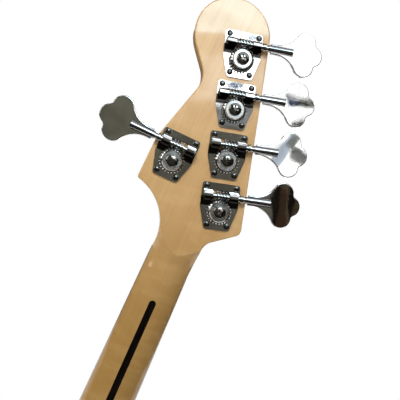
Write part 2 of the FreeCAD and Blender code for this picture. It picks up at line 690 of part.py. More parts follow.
def shaft_depth(z):
    """Wood behind the fretboard along the round part of the neck."""
    share = (NUT_Z - z) / (NUT_Z - MOUTH_Z)
    return S.neck_depth_nut + share * (S.neck_depth_heel - S.neck_depth_nut)


def neck_section(z, widen=0, deepen=0, shift=0):
    """Half-round cross-section of the neck at a height."""
    across = half_width(z) + S.neck_edge + widen
    depth = shaft_depth(z) + deepen
    centre = Vector(-shift, BOARD_UNDER, z)
    ellipse = Part.Ellipse(centre + Vector(across, 0, 0), centre + Vector(0, depth, 0), centre)
    back = Part.ArcOfEllipse(ellipse, 0, math.pi).toShape()
    front = Part.makeLine(centre - Vector(across, 0, 0), centre + Vector(across, 0, 0))
    return Part.Wire([back, front])


# Sweep from the round neck to flat wood: shares of its length, extra half width and extra depth
FLARE_STEPS = ((0, 0, 0), (0.26, 0.008, 0.024), (0.52, 0.158, 0.256), (1, 1, 1))
HEAD_STEP_SLOPE = 4  # length of the slope between nut and headstock against its drop


def flare(start, way, shift=0):
    """Loft from the round neck at a height out to a section larger than the flat wood."""
    sections = []
    for share, widen, deepen in FLARE_STEPS:
        z = start + way * share * S.flare_length
        sections.append(neck_section(z, widen * S.flare_width, deepen * S.flare_depth, share * shift))
    if way < 0:
        sections.reverse()
    return Part.makeLoft(sections, True, False)


def make_neck():
    head_start = NUT_Z - S.flare_below_nut
    head_flat = head_start + S.flare_length
    heel_flat = MOUTH_Z + S.heel_flat
    heel_start = heel_flat + S.flare_length
    past_tip = NUT_Z + FAR
    corners = [((-half_width(HEEL_Z), HEEL_Z), S.heel_corner)] + headstock_corners()
    corners += [((half_width(HEEL_Z), HEEL_Z), S.heel_corner)]
    prism = plan_prism(corners, BOARD_UNDER, POCKET - BOARD_UNDER + CUTTER_REACH)
    head_prism = plan_prism(corners, BOARD_UNDER, HEAD_BACK - BOARD_UNDER)
    rims = [edge for edge in head_prism.Edges if edge.BoundBox.YMin > HEAD_BACK - CUTTER_REACH]
    head_prism = head_prism.makeFillet(S.head_edge, rims)
    heel_block = box_between(Vector(-FAR, BOARD_UNDER, HEEL_Z - CUTTER_REACH), Vector(FAR, POCKET, heel_flat))
    heel_sweep = flare(heel_start, -1).common(
        box_between(Vector(-FAR, BOARD_UNDER, heel_flat), Vector(FAR, POCKET, heel_start)))
    shaft = Part.makeLoft([neck_section(heel_start), neck_section(head_start)], True, True)
    head_sweep = flare(head_start, 1, S.flare_shift).common(
        box_between(Vector(-FAR, BOARD_UNDER, head_start), Vector(FAR, HEAD_BACK, head_flat)))
    head_block = box_between(Vector(-FAR, BOARD_UNDER, head_flat), Vector(FAR, HEAD_BACK, past_tip))
    pieces = [prism.common(piece) for piece in (heel_block, heel_sweep, shaft)]
    pieces += [head_prism.common(piece) for piece in (head_sweep, head_block)]
    blank = pieces[0].fuse(pieces[1:]).removeSplitter()

    step_z = NUT_Z + S.nut_length
    step_end = step_z + HEAD_STEP_SLOPE * S.head_drop
    above = BOARD_UNDER - CUTTER_REACH
    face_step = Part.makePolygon([
        Vector(-FAR, above, step_z), Vector(-FAR, BOARD_UNDER, step_z), Vector(-FAR, HEAD_FRONT, step_end),
        Vector(-FAR, HEAD_FRONT, past_tip), Vector(-FAR, above, past_tip), Vector(-FAR, above, step_z)])
    blank = blank.cut(Part.Face(face_step).extrude(Vector(2 * FAR, 0, 0)))

    cutters = []
    for post in POSTS.values():
        front = Vector(post.x, HEAD_FRONT - CUTTER_REACH, post.z)
        back = Vector(post.x, HEAD_BACK + CUTTER_REACH, post.z)
        cutters.append(rod_between(front, back, S.bushing_sleeve + S.screw_gap))
    slot = stripe_slot(ROD_FLOOR - S.rod_gap)
    rod_start = Vector(0, ROD_Y, HEEL_Z - CUTTER_REACH)
    nut_end = HEEL_Z + S.rod_nut_length / 2 + S.blind_gap
    rod_end = Vector(0, ROD_Y, STRIPE_FOOT + S.stripe_width)
    rod_hole = rod_between(rod_start, rod_end, S.rod_radius + S.rod_gap)
    nut_hole = rod_between(rod_start, Vector(0, ROD_Y, nut_end), S.rod_nut_radius + S.rod_nut_gap)
    cutters += [slot, rod_hole, nut_hole]
    for place in tuner_screw_places():
        cutters.append(screw_hole(place, S.plate_screw_length, S.plate_screw_radius))
    for place in neck_screw_places():
        cutters.append(screw_hole(place, S.neck_screw_length, S.neck_screw_radius))
    retainer = Placement(retainer_point(), FACING_FRONT)
    cutters.append(screw_hole(retainer, S.retainer_tail, S.retainer_stem))
    neck = blank.cut(cutters)
    export_shape("neck", neck)
    export_shape("skunk_stripe", stripe_slot(ROD_Y + S.rod_radius + S.rod_gap).common(blank))


ROUND_END = 0.999  # radius of a round end against its half width, so that a short flat stays between


def stripe_slot(floor):
    """Round-ended slot along the back of the neck, open at the back."""
    half = S.stripe_width / 2
    bend = half * ROUND_END
    corners = [((-half, STRIPE_FOOT), bend), ((half, STRIPE_FOOT), bend),
               ((half, STRIPE_TOP), bend), ((-half, STRIPE_TOP), bend)]
    return plan_prism(corners, floor, BACK - floor)


def make_truss_rod():
    top = STRIPE_TOP - S.stripe_width
    rod = rod_between(Vector(0, ROD_Y, HEEL_Z), Vector(0, ROD_Y, top), S.rod_radius)
    export_shape("truss_rod", rod)
    bore = "rod_radius + running_gap"
    end = "-rod_nut_length / 2"
    body = turned_body("truss_rod_nut", [
        (bore, "rod_nut_length / 2"), (bore, end + " + rod_nut_wall"), ("0", end + " + rod_nut_wall"),
        ("0", end), ("rod_nut_radius", end), ("rod_nut_radius", "rod_nut_length / 2")])
    half = "rod_nut_slot / 2"
    slot = add_sketch(body, "XY_Plane", polygons=[[
        ("-rod_nut_radius", "-" + half), ("rod_nut_radius", "-" + half),
        ("rod_nut_radius", half), ("-rod_nut_radius", half)]], level=end)
    add_feature(body, "Pocket", slot, Length="rod_nut_slot_depth", Reversed=True)
    export_body("truss_rod_nut", body, Placement(Vector(0, ROD_Y, HEEL_Z), Rotation()))


def board_sector(z, outer, inner, beyond=0):
    """Cross-section across the fretboard between two levels below and above its cambered top."""
    across = half_width(z) + beyond
    axis_y = BOARD_TOP + S.board_radius

    def point(x, level):
        radius = S.board_radius + level
        return Vector(x, axis_y - math.sqrt(radius ** 2 - x ** 2), z)

    edges = [
        Part.Arc(point(-across, outer), point(0, outer), point(across, outer)).toShape(),
        Part.makeLine(point(across, outer), point(across, inner)),
        Part.Arc(point(across, inner), point(0, inner), point(-across, inner)).toShape(),
        Part.makeLine(point(-across, inner), point(-across, outer))]
    return Part.Face(Part.Wire(edges))


CROWN_SLOPE = 0.45  # chamfer of a fret's crown against its height


def make_fretboard():
    plan = [((-half_width(HEEL_Z), HEEL_Z), S.heel_corner), ((half_width(HEEL_Z), HEEL_Z), S.heel_corner),
            ((half_width(NUT_Z), NUT_Z), 0), ((-half_width(NUT_Z), NUT_Z), 0)]
    above = BOARD_TOP - CUTTER_REACH
    axis_y = BOARD_TOP + S.board_radius
    blank = plan_prism(plan, above, S.board_thickness + CUTTER_REACH)
    camber = rod_between(Vector(0, axis_y, HEEL_Z - CUTTER_REACH), Vector(0, axis_y, NUT_Z + CUTTER_REACH),
                         S.board_radius)
    board = blank.common(camber)
    frets = []
    cutters = []
    for number in range(1, int(S.fret_count) + 1):
        z = NUT_Z - fret_distance(number)
        crown = board_sector(z - S.fret_width / 2, S.fret_height, 0).extrude(Vector(0, 0, S.fret_width))
        rims = [edge for edge in crown.Edges
                if edge.Curve.TypeId == "Part::GeomCircle"
                and edge.Curve.Radius > S.board_radius + S.fret_height / 2]
        crown = crown.makeChamfer(S.fret_height * CROWN_SLOPE, rims)
        tang = board_sector(z - S.tang_width / 2, 0, -S.tang_depth).extrude(Vector(0, 0, S.tang_width))
        frets.append(crown.fuse(tang).removeSplitter())
        wide = S.tang_width + 2 * S.screw_gap
        slot = board_sector(z - wide / 2, CUTTER_REACH, -S.tang_depth - S.screw_gap, CUTTER_REACH)
        cutters.append(slot.extrude(Vector(0, 0, wide)))
    markers = []
    for number in MARKED_FRETS:
        z = NUT_Z - (fret_distance(number - 1) + fret_distance(number)) / 2
        for x in ((-half_width(z) / 2, half_width(z) / 2) if number == FRETS_PER_OCTAVE else (0,)):
            low = Vector(x, BOARD_TOP + S.marker_depth, z)
            high = Vector(x, above, z)
            markers.append(rod_between(low, high, S.marker_radius).common(camber))
            cutters.append(rod_between(low + Vector(0, S.screw_gap, 0), high, S.marker_radius + S.screw_gap))
    export_shape("fretboard", board.cut(cutters))
    export_shape("frets", Part.makeCompound(frets))
    export_shape("fret_markers", Part.makeCompound(markers))


def string_at_nut(string):
    """Axis of a string over the nut's front edge."""
    return Vector(nut_x(string), STRING_UNDER_NUT - GAUGES[string] / 2, NUT_Z)


def make_nut():
    half = half_width(NUT_Z) - S.nut_inset
    top = BOARD_TOP - S.nut_top
    end = NUT_Z + S.nut_length
    profile = Part.makePolygon([
        Vector(-half, BOARD_UNDER, NUT_Z), Vector(-half, BOARD_UNDER, end),
        Vector(-half, top + S.nut_slope, end), Vector(-half, top, NUT_Z + S.nut_land),
        Vector(-half, top, NUT_Z), Vector(-half, BOARD_UNDER, NUT_Z)])
    nut = Part.Face(profile).extrude(Vector(2 * half, 0, 0))
    slots = []
    for string in STRINGS:
        radius = GAUGES[string] / 2 + S.screw_gap
        crown = string_at_nut(string)
        low = crown - Vector(0, 0, CUTTER_REACH)
        leave = run_way(string)
        groove = rod_between(low, crown + leave * FUSE_REACH, radius)
        exit_groove = rod_between(crown - leave * CUTTER_REACH, crown + leave * (2 * S.nut_length), radius)
        for cutter in (groove, exit_groove):
            slots.append(cutter)
            slots.append(cutter.translated(Vector(0, -radius, 0)))
            slots.append(cutter.translated(Vector(0, -2 * radius, 0)))
    export_shape("nut", nut.cut(slots))


# Strings


def winding_radius(string):
    """Radius of a string's axis where it is wound on its post."""
    return S.post_radius + S.winding_lift + GAUGES[string] / 2


def winding_pitch(string):
    return GAUGES[string] + S.winding_gap


def winding_start(string):
    """Where a string first meets its post, the way it runs there, and the sense of its turns."""
    tuner = TUNER_OF_STRING[string]
    sense = -1 if tuner == LONE_TUNER else 1
    radius = winding_radius(string)
    nut = string_at_nut(string)
    post = POSTS[tuner]
    span = math.hypot(post.x - nut.x, post.z - nut.z)
    bearing = math.atan2(post.z - nut.z, post.x - nut.x) - sense * math.asin(radius / span)
    reach = math.sqrt(span ** 2 - radius ** 2)
    level = HEAD_FRONT - S.bushing_flange_height - S.winding_start - GAUGES[string] / 2
    start = Vector(nut.x + reach * math.cos(bearing), level, nut.z + reach * math.sin(bearing))
    climb = winding_pitch(string) / (2 * math.pi * radius)
    way = Vector(math.cos(bearing), -climb, math.sin(bearing)).normalize()
    return start, way, sense


def run_way(string):
    """Direction of a string from the nut to the lead of its turns."""
    start, way, sense = winding_start(string)
    return (start - way * S.string_lead - string_at_nut(string)).normalize()


def biarc(start, start_way, end, end_way):
    """Two tangent arcs between two points with given directions."""
    ways = start_way + end_way
    chord = end - start
    lean = 2 * (1 - start_way.dot(end_way))
    reach = (-chord.dot(ways) + math.sqrt(chord.dot(ways) ** 2 + lean * chord.dot(chord))) / lean
    joint = (start + end + (start_way - end_way) * reach) * 0.5
    first = tangent_arc(start, start_way, joint)
    second = tangent_arc(end, end_way * -1, joint)
    return [first, second]


def tangent_arc(start, way, end):
    """Arc that leaves a point in a given direction and ends at another point."""
    chord = end - start
    along = Vector(chord).normalize()
    turn = way.getAngle(along)
    side = (way - along * way.dot(along)).normalize()
    middle = (start + end) * 0.5 + side * (chord.Length / 2 * math.tan(turn / 2))
    return Part.Arc(start, middle, end).toShape()


def helix_point(string, turn):
    """Point and direction on a string's turns, counted from where it meets the post."""
    start, way, sense = winding_start(string)
    post = POSTS[TUNER_OF_STRING[string]]
    radius = winding_radius(string)
    angle = math.atan2(start.z - post.z, start.x - post.x) + sense * turn * 2 * math.pi
    point = Vector(post.x + radius * math.cos(angle), start.y - winding_pitch(string) * turn,
                   post.z + radius * math.sin(angle))
    climb = winding_pitch(string) / (2 * math.pi * radius)
    way = Vector(-sense * math.sin(angle), -climb, sense * math.cos(angle)).normalize()
    return point, way


def bent_line(points, radius):
    """Straight runs through points with a tangent arc at each inner point."""
    edges = []
    here = points[0]
    for before, corner, after in zip(points, points[1:], points[2:]):
        back = (before - corner).normalize()
        ahead = (after - corner).normalize()
        half = back.getAngle(ahead) / 2
        cut = radius / math.tan(half)
        middle = corner + (back + ahead).normalize() * (radius / math.sin(half) - radius)
        edges.append(Part.makeLine(here, corner + back * cut))
        edges.append(Part.Arc(corner + back * cut, middle, corner + ahead * cut).toShape())
        here = corner + ahead * cut
    edges.append(Part.makeLine(here, points[-1]))
    return edges


def string_points(string):
    """Corners of a string's path from its ball end to its post."""
    x = saddle_x(string)
    radius = GAUGES[string] / 2
    wall = Vector(x, STRING_HOLE_Y, SADDLE_Z - S.bridge_back)
    over = Vector(x, STRING_UNDER_SADDLE - radius, SADDLE_Z - S.string_break)
    start, way, sense = winding_start(string)
    back = (wall - over).normalize()
    tail = wall + back * (S.ball_gap + S.ball_radius * abs(back.y))
    return [tail, over, string_at_nut(string), start - way * S.string_lead, start]


ARCS_PER_TURN = 8     # a string's turns are made of this many arcs, two by two
SAMPLES_PER_TURN = 48  # points of each turn at which the gap between turns is measured


def make_strings():
    strings = []
    closest = math.inf
    for string in STRINGS:
        radius = GAUGES[string] / 2
        edges = bent_line(string_points(string), S.string_bend)
        pairs = ARCS_PER_TURN // 2
        for step in range(round(WINDING_TURNS[string] * pairs)):
            here, way = helix_point(string, step / pairs)
            there, next_way = helix_point(string, (step + 1) / pairs)
            edges += biarc(here, way, there, next_way)
        path = Part.Wire(edges)
        start = path.Edges[0].firstVertex().Point
        first_way = (string_points(string)[1] - start).normalize()
        ring = Part.Wire([Part.makeCircle(radius, start, first_way)])
        tube = path.makePipeShell([ring], True, False)
        ball = Part.makeCylinder(S.ball_radius, S.ball_length, start - first_way * S.ball_length, first_way)
        strings.append(ball.fuse(tube).removeSplitter())
        closest = min(closest, winding_pitch(string) - 2 * radius)
        samples = round(WINDING_TURNS[string] * SAMPLES_PER_TURN)
        turn_points = [helix_point(string, index / SAMPLES_PER_TURN)[0] for index in range(samples)]
        for index, point in enumerate(turn_points):
            for other in turn_points[index + SAMPLES_PER_TURN * 3 // 4:]:
                closest = min(closest, point.distanceToPoint(other) - 2 * radius)
    print("least gap between turns of a string:", round(closest, 3))
    export_shape("strings", Part.makeCompound(strings))


# Tuners


def tuner_screw_places():
    """Placements of the plate screws, heads on the plates."""
    spots = [(side * S.upper_screw_x, S.upper_screw_y) for side in (-1, 1)]
    spots += [(side * S.lower_screw_x, -S.lower_screw_y) for side in (-1, 1)]
    places = []
    for tuner in sorted(POSTS):
        for x, y in spots:
            places.append(tuner_place(tuner).multiply(Placement(Vector(x, y, S.plate_thickness), Rotation())))
    return places


# Bends of a bearing strap, against its outside radius
STRAP_SIDE = 0.45
STRAP_BEND = 0.72
STRAP_CROWN = 0.3


def make_tuner_plates():
    body = new_body("tuner_plate_form")
    outline = [
        ("-plate_top_half", "plate_top"), ("-plate_top_half", "plate_waist"),
        ("-plate_foot_half", "-plate_foot"), ("plate_foot_half", "-plate_foot"),
        ("plate_top_half", "plate_waist"), ("plate_top_half", "plate_top")]
    screw_room = "plate_screw_radius + 2 * screw_gap"
    holes = [("0", "0", "post_radius + running_gap")]
    for side in ("-", ""):
        holes.append((side + "upper_screw_x", "upper_screw_y", screw_room))
        holes.append((side + "lower_screw_x", "-lower_screw_y", screw_room))
    add_feature(body, "Pad", add_sketch(body, "XY_Plane", [outline], holes), Length="plate_thickness")
    add_fillet(body, "plate_corner", lambda edge: upright(edge) and edge.Curve.TypeId == "Part::GeomLine")
    strap = [
        ("worm_offset - strap_radius", "plate_thickness / 2"),
        ("worm_offset - strap_radius", f"worm_height + strap_radius * {STRAP_SIDE}"),
        (f"worm_offset - strap_radius * {STRAP_BEND}", f"worm_height + strap_radius * {STRAP_BEND}"),
        (f"worm_offset - strap_radius * {STRAP_CROWN}", "worm_height + strap_radius"),
        (f"worm_offset + strap_radius * {STRAP_CROWN}", "worm_height + strap_radius"),
        (f"worm_offset + strap_radius * {STRAP_BEND}", f"worm_height + strap_radius * {STRAP_BEND}"),
        ("worm_offset + strap_foot", "plate_thickness"),
        ("worm_offset + strap_foot", "plate_thickness / 2")]
    sketch = add_sketch(body, "YZ_Plane", [strap])
    add_feature(body, "Pad", sketch, Length="2 * strap_outer", SideType="Symmetric")
    bearing = ("worm_offset", "worm_height", "bearing_radius + running_gap")
    bore = add_sketch(body, "YZ_Plane", circles=[bearing])
    add_feature(body, "Pocket", bore, Type="ThroughAll", SideType="Symmetric")
    low = "worm_offset - strap_radius - window_gap"
    high = "worm_offset + strap_radius + 2 * window_gap"
    window = add_sketch(body, "XY_Plane", [[
        ("-strap_inner", low), ("strap_inner", low), ("strap_inner", high), ("-strap_inner", high)]])
    add_feature(body, "Pocket", window, Type="ThroughAll", SideType="Symmetric")
    export_shape("tuner_plates", copies(body.Shape, [tuner_place(tuner) for tuner in sorted(POSTS)]))


def make_posts():
    top = "-head_thickness - post_height"
    slot_top = f"{top} - {CUTTER_REACH}"
    flange = f"{top} + post_flange_height"
    base = "plate_thickness + gear_lift"
    spigot = f"{base} + gear_thickness - spigot_gap"
    hole = "gear_screw_radius + screw_gap"
    for tuner in sorted(POSTS):
        label = f"tuner_post_{tuner}"
        body = turned_body(label, [
            (hole, spigot), ("post_spigot", spigot), ("post_spigot", base), ("post_radius", base),
            ("post_radius", flange + " + post_cone"), ("post_flange", flange),
            ("post_flange", top + " + turned_edge"), ("post_flange - turned_edge", top), ("0", top),
            ("0", base + " - gear_screw_length"), (hole, base + " - gear_screw_length")])
        slot = add_sketch(body, "XZ_Plane", [[
            ("-post_slot_width / 2", slot_top), ("post_slot_width / 2", slot_top),
            ("post_slot_width / 2", top + " + post_slot_depth"),
            ("-post_slot_width / 2", top + " + post_slot_depth")]])
        add_feature(body, "Pocket", slot, Type="ThroughAll", SideType="Symmetric")
        export_body(label, body, tuner_place(tuner))
    bushing = turned_body("tuner_bushing_form", [
        ("post_radius + running_gap", "-head_thickness - bushing_flange_height"),
        ("bushing_flange - turned_edge", "-head_thickness - bushing_flange_height"),
        ("bushing_flange", "-head_thickness - bushing_flange_height + turned_edge"),
        ("bushing_flange", "-head_thickness"), ("bushing_sleeve", "-head_thickness"),
        ("bushing_sleeve", "-head_thickness + bushing_length"),
        ("post_radius + running_gap", "-head_thickness + bushing_length")])
    places = [tuner_place(tuner) for tuner in sorted(POSTS)]
    export_shape("tuner_bushings", copies(bushing.Shape, places))


def lead_slope():
    """Sideways step of the worm's thread for each step along the gear's axis."""
    return S.thread_pitch / (2 * math.pi * S.worm_pitch_radius)


def gear_form():
    """Worm wheel about the z axis, with a tooth gap centred on +y."""
    disc = Part.makeCylinder(S.gear_tip, S.gear_thickness, Vector(0, 0, GEAR_BASE))
    boss = Part.makeCylinder(S.gear_boss_radius, S.gear_boss_height + FUSE_REACH,
                             Vector(0, 0, GEAR_TOP - FUSE_REACH))
    rim = [edge for edge in boss.Edges if edge.Closed and edge.CenterOfMass.z > GEAR_TOP]
    boss = boss.makeChamfer(S.gear_boss_height / 2, rim)
    bore = Part.makeCylinder(S.post_spigot + S.screw_gap / 2, GEAR_TOP + S.gear_boss_height + CUTTER_REACH)
    outer = S.gear_tip + CUTTER_REACH
    grow = (S.gear_gap_tip - S.gear_gap_root) / (S.gear_tip - S.gear_root)
    outer_half = (S.gear_gap_tip + CUTTER_REACH * grow) / 2
    root_half = S.gear_gap_root / 2
    low = GEAR_BASE - CUTTER_REACH
    tilt = -lead_slope()
    shift = tilt * (low - S.worm_height)
    gap_face = Part.Face(Part.makePolygon([
        Vector(shift - root_half, S.gear_root, low), Vector(shift + root_half, S.gear_root, low),
        Vector(shift + outer_half, outer, low), Vector(shift - outer_half, outer, low),
        Vector(shift - root_half, S.gear_root, low)]))
    height = S.gear_thickness + 2 * CUTTER_REACH
    gap = gap_face.extrude(Vector(tilt * height, 0, height))
    gaps = []
    for tooth in range(int(S.gear_teeth)):
        cutter = gap.copy()
        cutter.rotate(Vector(0, 0, 0), Vector(0, 0, 1), 360 / S.gear_teeth * tooth)
        gaps.append(cutter)
    return disc.cut(gaps).fuse(boss).cut(bore).removeSplitter()


GEAR_SIDE = 0.75  # share of a turn at which the worm's thread faces the gear


def worm_form():
    """Worm with its key shaft, along the x axis at the worm's place."""
    length = S.thread_pitch * S.thread_turns
    helix = Part.makeHelix(S.thread_pitch, length, S.worm_root)
    root = S.thread_root_width / 2
    tip = S.thread_tip_width / 2
    foot = S.worm_root - FUSE_REACH
    profile = Part.makePolygon([
        Vector(foot, 0, -root), Vector(S.worm_tip, 0, -tip), Vector(S.worm_tip, 0, tip),
        Vector(foot, 0, root), Vector(foot, 0, -root)])
    thread = Part.Wire(helix.Edges).makePipeShell([profile], True, True)
    core = Part.makeCylinder(S.worm_root, 2 * S.strap_inner, Vector(0, 0, length / 2 - S.strap_inner))
    worm = core.fuse(thread)
    worm.translate(Vector(0, 0, -length / 2))
    phase = 360 * ((GEAR_SIDE - S.thread_turns / 2) % 1)
    worm.rotate(Vector(0, 0, 0), Vector(0, 1, 0), 90)
    worm.rotate(Vector(0, 0, 0), Vector(1, 0, 0), phase)
    along = Vector(1, 0, 0)
    journals = []
    shoulder = S.strap_inner - S.journal_overhang
    collar = S.plate_top_half + S.collar_gap
    for low, high, radius in (
            (-S.strap_outer - S.journal_overhang, -shoulder, S.bearing_radius),
            (shoulder, collar, S.bearing_radius),
            (collar, collar + S.collar_length, S.collar_radius),
            (collar, S.key_start + S.key_shaft_depth, S.key_shaft_radius)):
        journals.append(Part.makeCylinder(radius, high - low, Vector(low, 0, 0), along))
    worm = worm.fuse(journals).removeSplitter()
    worm.translate(Vector(0, S.worm_offset, S.worm_height))
    return worm


def lobe_outline():
    """Outline of a key's paddle about the x axis: a neck, two side lobes and an end lobe, in tangent arcs."""
    lobe = Vector(S.key_start + S.side_lobe_in, S.side_lobe_across, 0)
    end = Vector(S.key_start + S.end_lobe_in, 0, 0)
    flare_y = S.paddle_neck_half + S.paddle_flare
    reach = S.paddle_flare + S.side_lobe_radius
    flare_x = lobe.x - math.sqrt(reach ** 2 - (flare_y - lobe.y) ** 2)
    flare_centre = Vector(flare_x, flare_y, 0)
    side_touch = lobe + (flare_centre - lobe).normalize() * S.side_lobe_radius
    near = S.side_lobe_radius + S.lobe_notch
    far = S.end_lobe_radius + S.lobe_notch
    gap = end - lobe
    along = (near ** 2 - far ** 2 + gap.Length ** 2) / (2 * gap.Length)
    aside = math.sqrt(near ** 2 - along ** 2)
    unit = Vector(gap).normalize()
    notch_centre = lobe + unit * along + Vector(-unit.y, unit.x, 0) * aside
    notch_side = lobe + (notch_centre - lobe).normalize() * S.side_lobe_radius
    notch_end = end + (notch_centre - end).normalize() * S.end_lobe_radius
    neck_start = Vector(S.key_start + S.paddle_in, S.paddle_neck_half, 0)
    neck_end = Vector(flare_x, S.paddle_neck_half, 0)
    tip = end + Vector(S.end_lobe_radius, 0, 0)

    def arc(start, centre, stop, outward):
        """Arc about a centre that passes on the side of the given direction."""
        radius = start.distanceToPoint(centre)
        return Part.Arc(start, centre + outward.normalize() * radius, stop).toShape()

    end_side = (notch_end - end).normalize() + Vector(1, 0, 0)
    upper = [
        Part.makeLine(neck_start, neck_end),
        arc(neck_end, flare_centre, side_touch, (neck_end + side_touch) * 0.5 - flare_centre),
        arc(side_touch, lobe, notch_side, Vector(0, 1, 0)),
        arc(notch_side, notch_centre, notch_end, (notch_side + notch_end) * 0.5 - notch_centre),
        arc(notch_end, end, tip, end_side)]
    lower = [edge.mirror(Vector(0, 0, 0), Vector(0, 1, 0)) for edge in upper]
    closing = Part.makeLine(neck_start, Vector(neck_start.x, -neck_start.y, 0))
    return Part.Wire(Part.__sortEdges__(upper + lower + [closing]))


def key_form():
    """Key: a three-lobed paddle with a barrel for the shaft, along the x axis at the worm's place."""
    paddle = Part.Face(lobe_outline()).extrude(Vector(0, 0, S.paddle_thickness))
    paddle.translate(Vector(0, 0, -S.paddle_thickness / 2))
    rims = [edge for edge in paddle.Edges if edge.BoundBox.ZLength < S.paddle_thickness / 2]
    paddle = paddle.makeFillet(S.paddle_edge, rims)
    barrel = Part.makeCone(S.key_barrel_near, S.key_barrel_far, S.key_barrel_length,
                           Vector(S.key_start, 0, 0), Vector(1, 0, 0))
    bore = rod_between(Vector(S.key_start - CUTTER_REACH, 0, 0),
                       Vector(S.key_start + S.key_shaft_depth + S.blind_gap, 0, 0),
                       S.key_shaft_radius + S.screw_gap / 2)
    key = paddle.fuse(barrel).cut(bore).removeSplitter()
    key.translate(Vector(0, S.worm_offset, S.worm_height))
    return key


def make_tuners():
    gear = gear_form()
    worm = worm_form()
    key = key_form()
    for tuner in sorted(POSTS):
        place = tuner_place(tuner)
        export_shape(f"tuner_gear_{tuner}", handed(gear, tuner), place)
        export_shape(f"tuner_worm_{tuner}", handed(worm, tuner), place)
        export_shape(f"tuner_key_{tuner}", handed(key, tuner), place)
        screw = screw_body(f"tuner_gear_screw_{tuner}", "gear_screw")
        seat = Placement(Vector(0, 0, GEAR_TOP + S.gear_boss_height), Rotation())
        export_body(f"tuner_gear_screw_{tuner}", screw, place.multiply(seat))
    screw = screw_body("tuner_screw_form", "plate_screw")
    export_shape("tuner_screws", copies(screw.Shape, tuner_screw_places()))


def retained_point(string):
    """Axis of a string where it passes the string retainer."""
    way = run_way(string)
    return string_at_nut(string) + way * (S.retainer_z / way.z)


def retainer_rise():
    """Headstock face to the underside of the retainer's disc, clear of its strings across the disc."""
    rises = []
    for string in RETAINED_STRINGS:
        way = run_way(string)
        slope = S.retainer_radius * abs(way.y / way.z)
        rises.append(HEAD_FRONT - retained_point(string).y + GAUGES[string] / 2 + slope)
    return max(rises) + S.retainer_gap


def retainer_point():
    """Middle of the string retainer on the headstock's face, between its two strings."""
    spots = [retained_point(string) for string in RETAINED_STRINGS]
    x = sum(spot.x for spot in spots) / len(spots)
    return Vector(x, HEAD_FRONT, NUT_Z + S.retainer_z)


def make_retainer():
    rise = str(retainer_rise())
    body = turned_body("string_retainer", [
        ("0", "-retainer_tail"), ("retainer_stem", "-retainer_tail + retainer_stem"),
        ("retainer_stem", rise), ("retainer_radius", rise),
        ("retainer_radius", rise + " + retainer_thickness / 2"),
        ("retainer_radius - retainer_thickness / 2", rise + " + retainer_thickness"),
        ("0", rise + " + retainer_thickness")])
    export_body("string_retainer", body, Placement(retainer_point(), FACING_FRONT))


# Body

# Outline from the butt end round the thin-string side: share of the half width, and the height as a share of
# the widest part's height above the butt end or, with True, of the long horn's above the neck pocket's mouth.
BODY_OUTLINE = (
    (0, -0.002, False), (0.42, 0.03, False), (0.77, 0.21, False), (0.975, 0.61, False), (1, 1, False),
    (0.86, 1.5, False), (0.715, -1.35, True), (0.745, -0.72, True), (0.83, -0.19, True), (0.8, 0.24, True),
    (0.655, 0.4, True), (0.475, 0.27, True), (0.3, 0.06, True), (0.215, 0, True), (0, 0.06, True),
    (-0.23, 0.1, True), (-0.36, 0.29, True), (-0.55, 0.79, True), (-0.74, 1, True), (-0.895, 0.87, True),
    (-0.95, 0.43, True), (-0.89, -0.19, True), (-0.79, -0.77, True), (-0.745, -1.25, True),
    (-0.815, 1.65, False), (-0.95, 1.25, False), (-1, 0.82, False), (-0.89, 0.38, False),
    (-0.56, 0.08, False))
HORN_POINT = 18  # place of the long horn's tip in the outline


def outline_point(index):
    share, height, upper = BODY_OUTLINE[index]
    z = MOUTH_Z + height * S.horn_height if upper else S.butt_height + height * S.bout_height
    return Vector(share * S.body_width / 2, FRONT, z)


def outline_curve():
    curve = Part.BSplineCurve()
    curve.interpolate([outline_point(index) for index in range(len(BODY_OUTLINE))], PeriodicFlag=True)
    return curve


def button_places():
    """Placements of the strap buttons: middle of the head, z pointing into the wood."""
    curve = outline_curve()
    horn = outline_point(HORN_POINT)
    along = curve.tangent(curve.parameter(horn))[0]
    inward = Vector(-along.z, 0, along.x)
    if inward.z > 0:
        inward = inward * -1
    horn_seat = Vector(horn.x, 0, horn.z) + inward * S.button_sink
    turn = Rotation(Vector(0, 0, 1), inward)
    return [Placement(Vector(0, 0, 0), Rotation()),
            Placement(horn_seat - inward * S.butt_height, turn)]


def neck_plate_middle():
    return Vector(0, BACK, HEEL_Z + S.pocket_length / 2)


def neck_screw_places():
    """Placements of the neck screws, heads on the neck plate."""
    across = S.neck_plate_width / 2 - S.neck_screw_inset
    along = S.pocket_length / 2 - S.neck_plate_margin - S.neck_screw_inset
    places = []
    for x in (-across, across):
        for z in (-along, along):
            spot = neck_plate_middle() + Vector(x, S.neck_plate_thickness, z)
            places.append(Placement(spot, FACING_BACK))
    return places


def control_point(distance):
    """Point on the control plate's middle line, counted from its middle towards the butt end."""
    first_x = S.pickup_length / 2 + S.control_from_pickup
    last_x = S.body_width / 2 - S.control_from_side
    angle = math.asin((last_x - first_x) / (2 * CONTROL_REACH))
    x = (first_x + last_x) / 2 + distance * math.sin(angle)
    z = S.butt_height + S.control_z - distance * math.cos(angle)
    return Vector(x, FRONT, z)


def control_slot(reach, radius, depth):
    """Round-ended form along the control plate's middle line, reaching equally far either way."""
    start = control_point(radius - reach)
    end = control_point(reach - radius)
    way = (end - start).normalize()
    side = Vector(way.z, 0, -way.x) * radius
    bar = Part.Face(Part.makePolygon([start + side, end + side, end - side, start - side, start + side]))
    down = Vector(0, depth, 0)
    round_ends = [Part.makeCylinder(radius, depth, point, Vector(0, 1, 0)) for point in (start, end)]
    return bar.extrude(down).fuse(round_ends)


CAVITY_REACH = CONTROL_REACH + S.cavity_radius
PLATE_REACH = CAVITY_REACH + S.control_tab


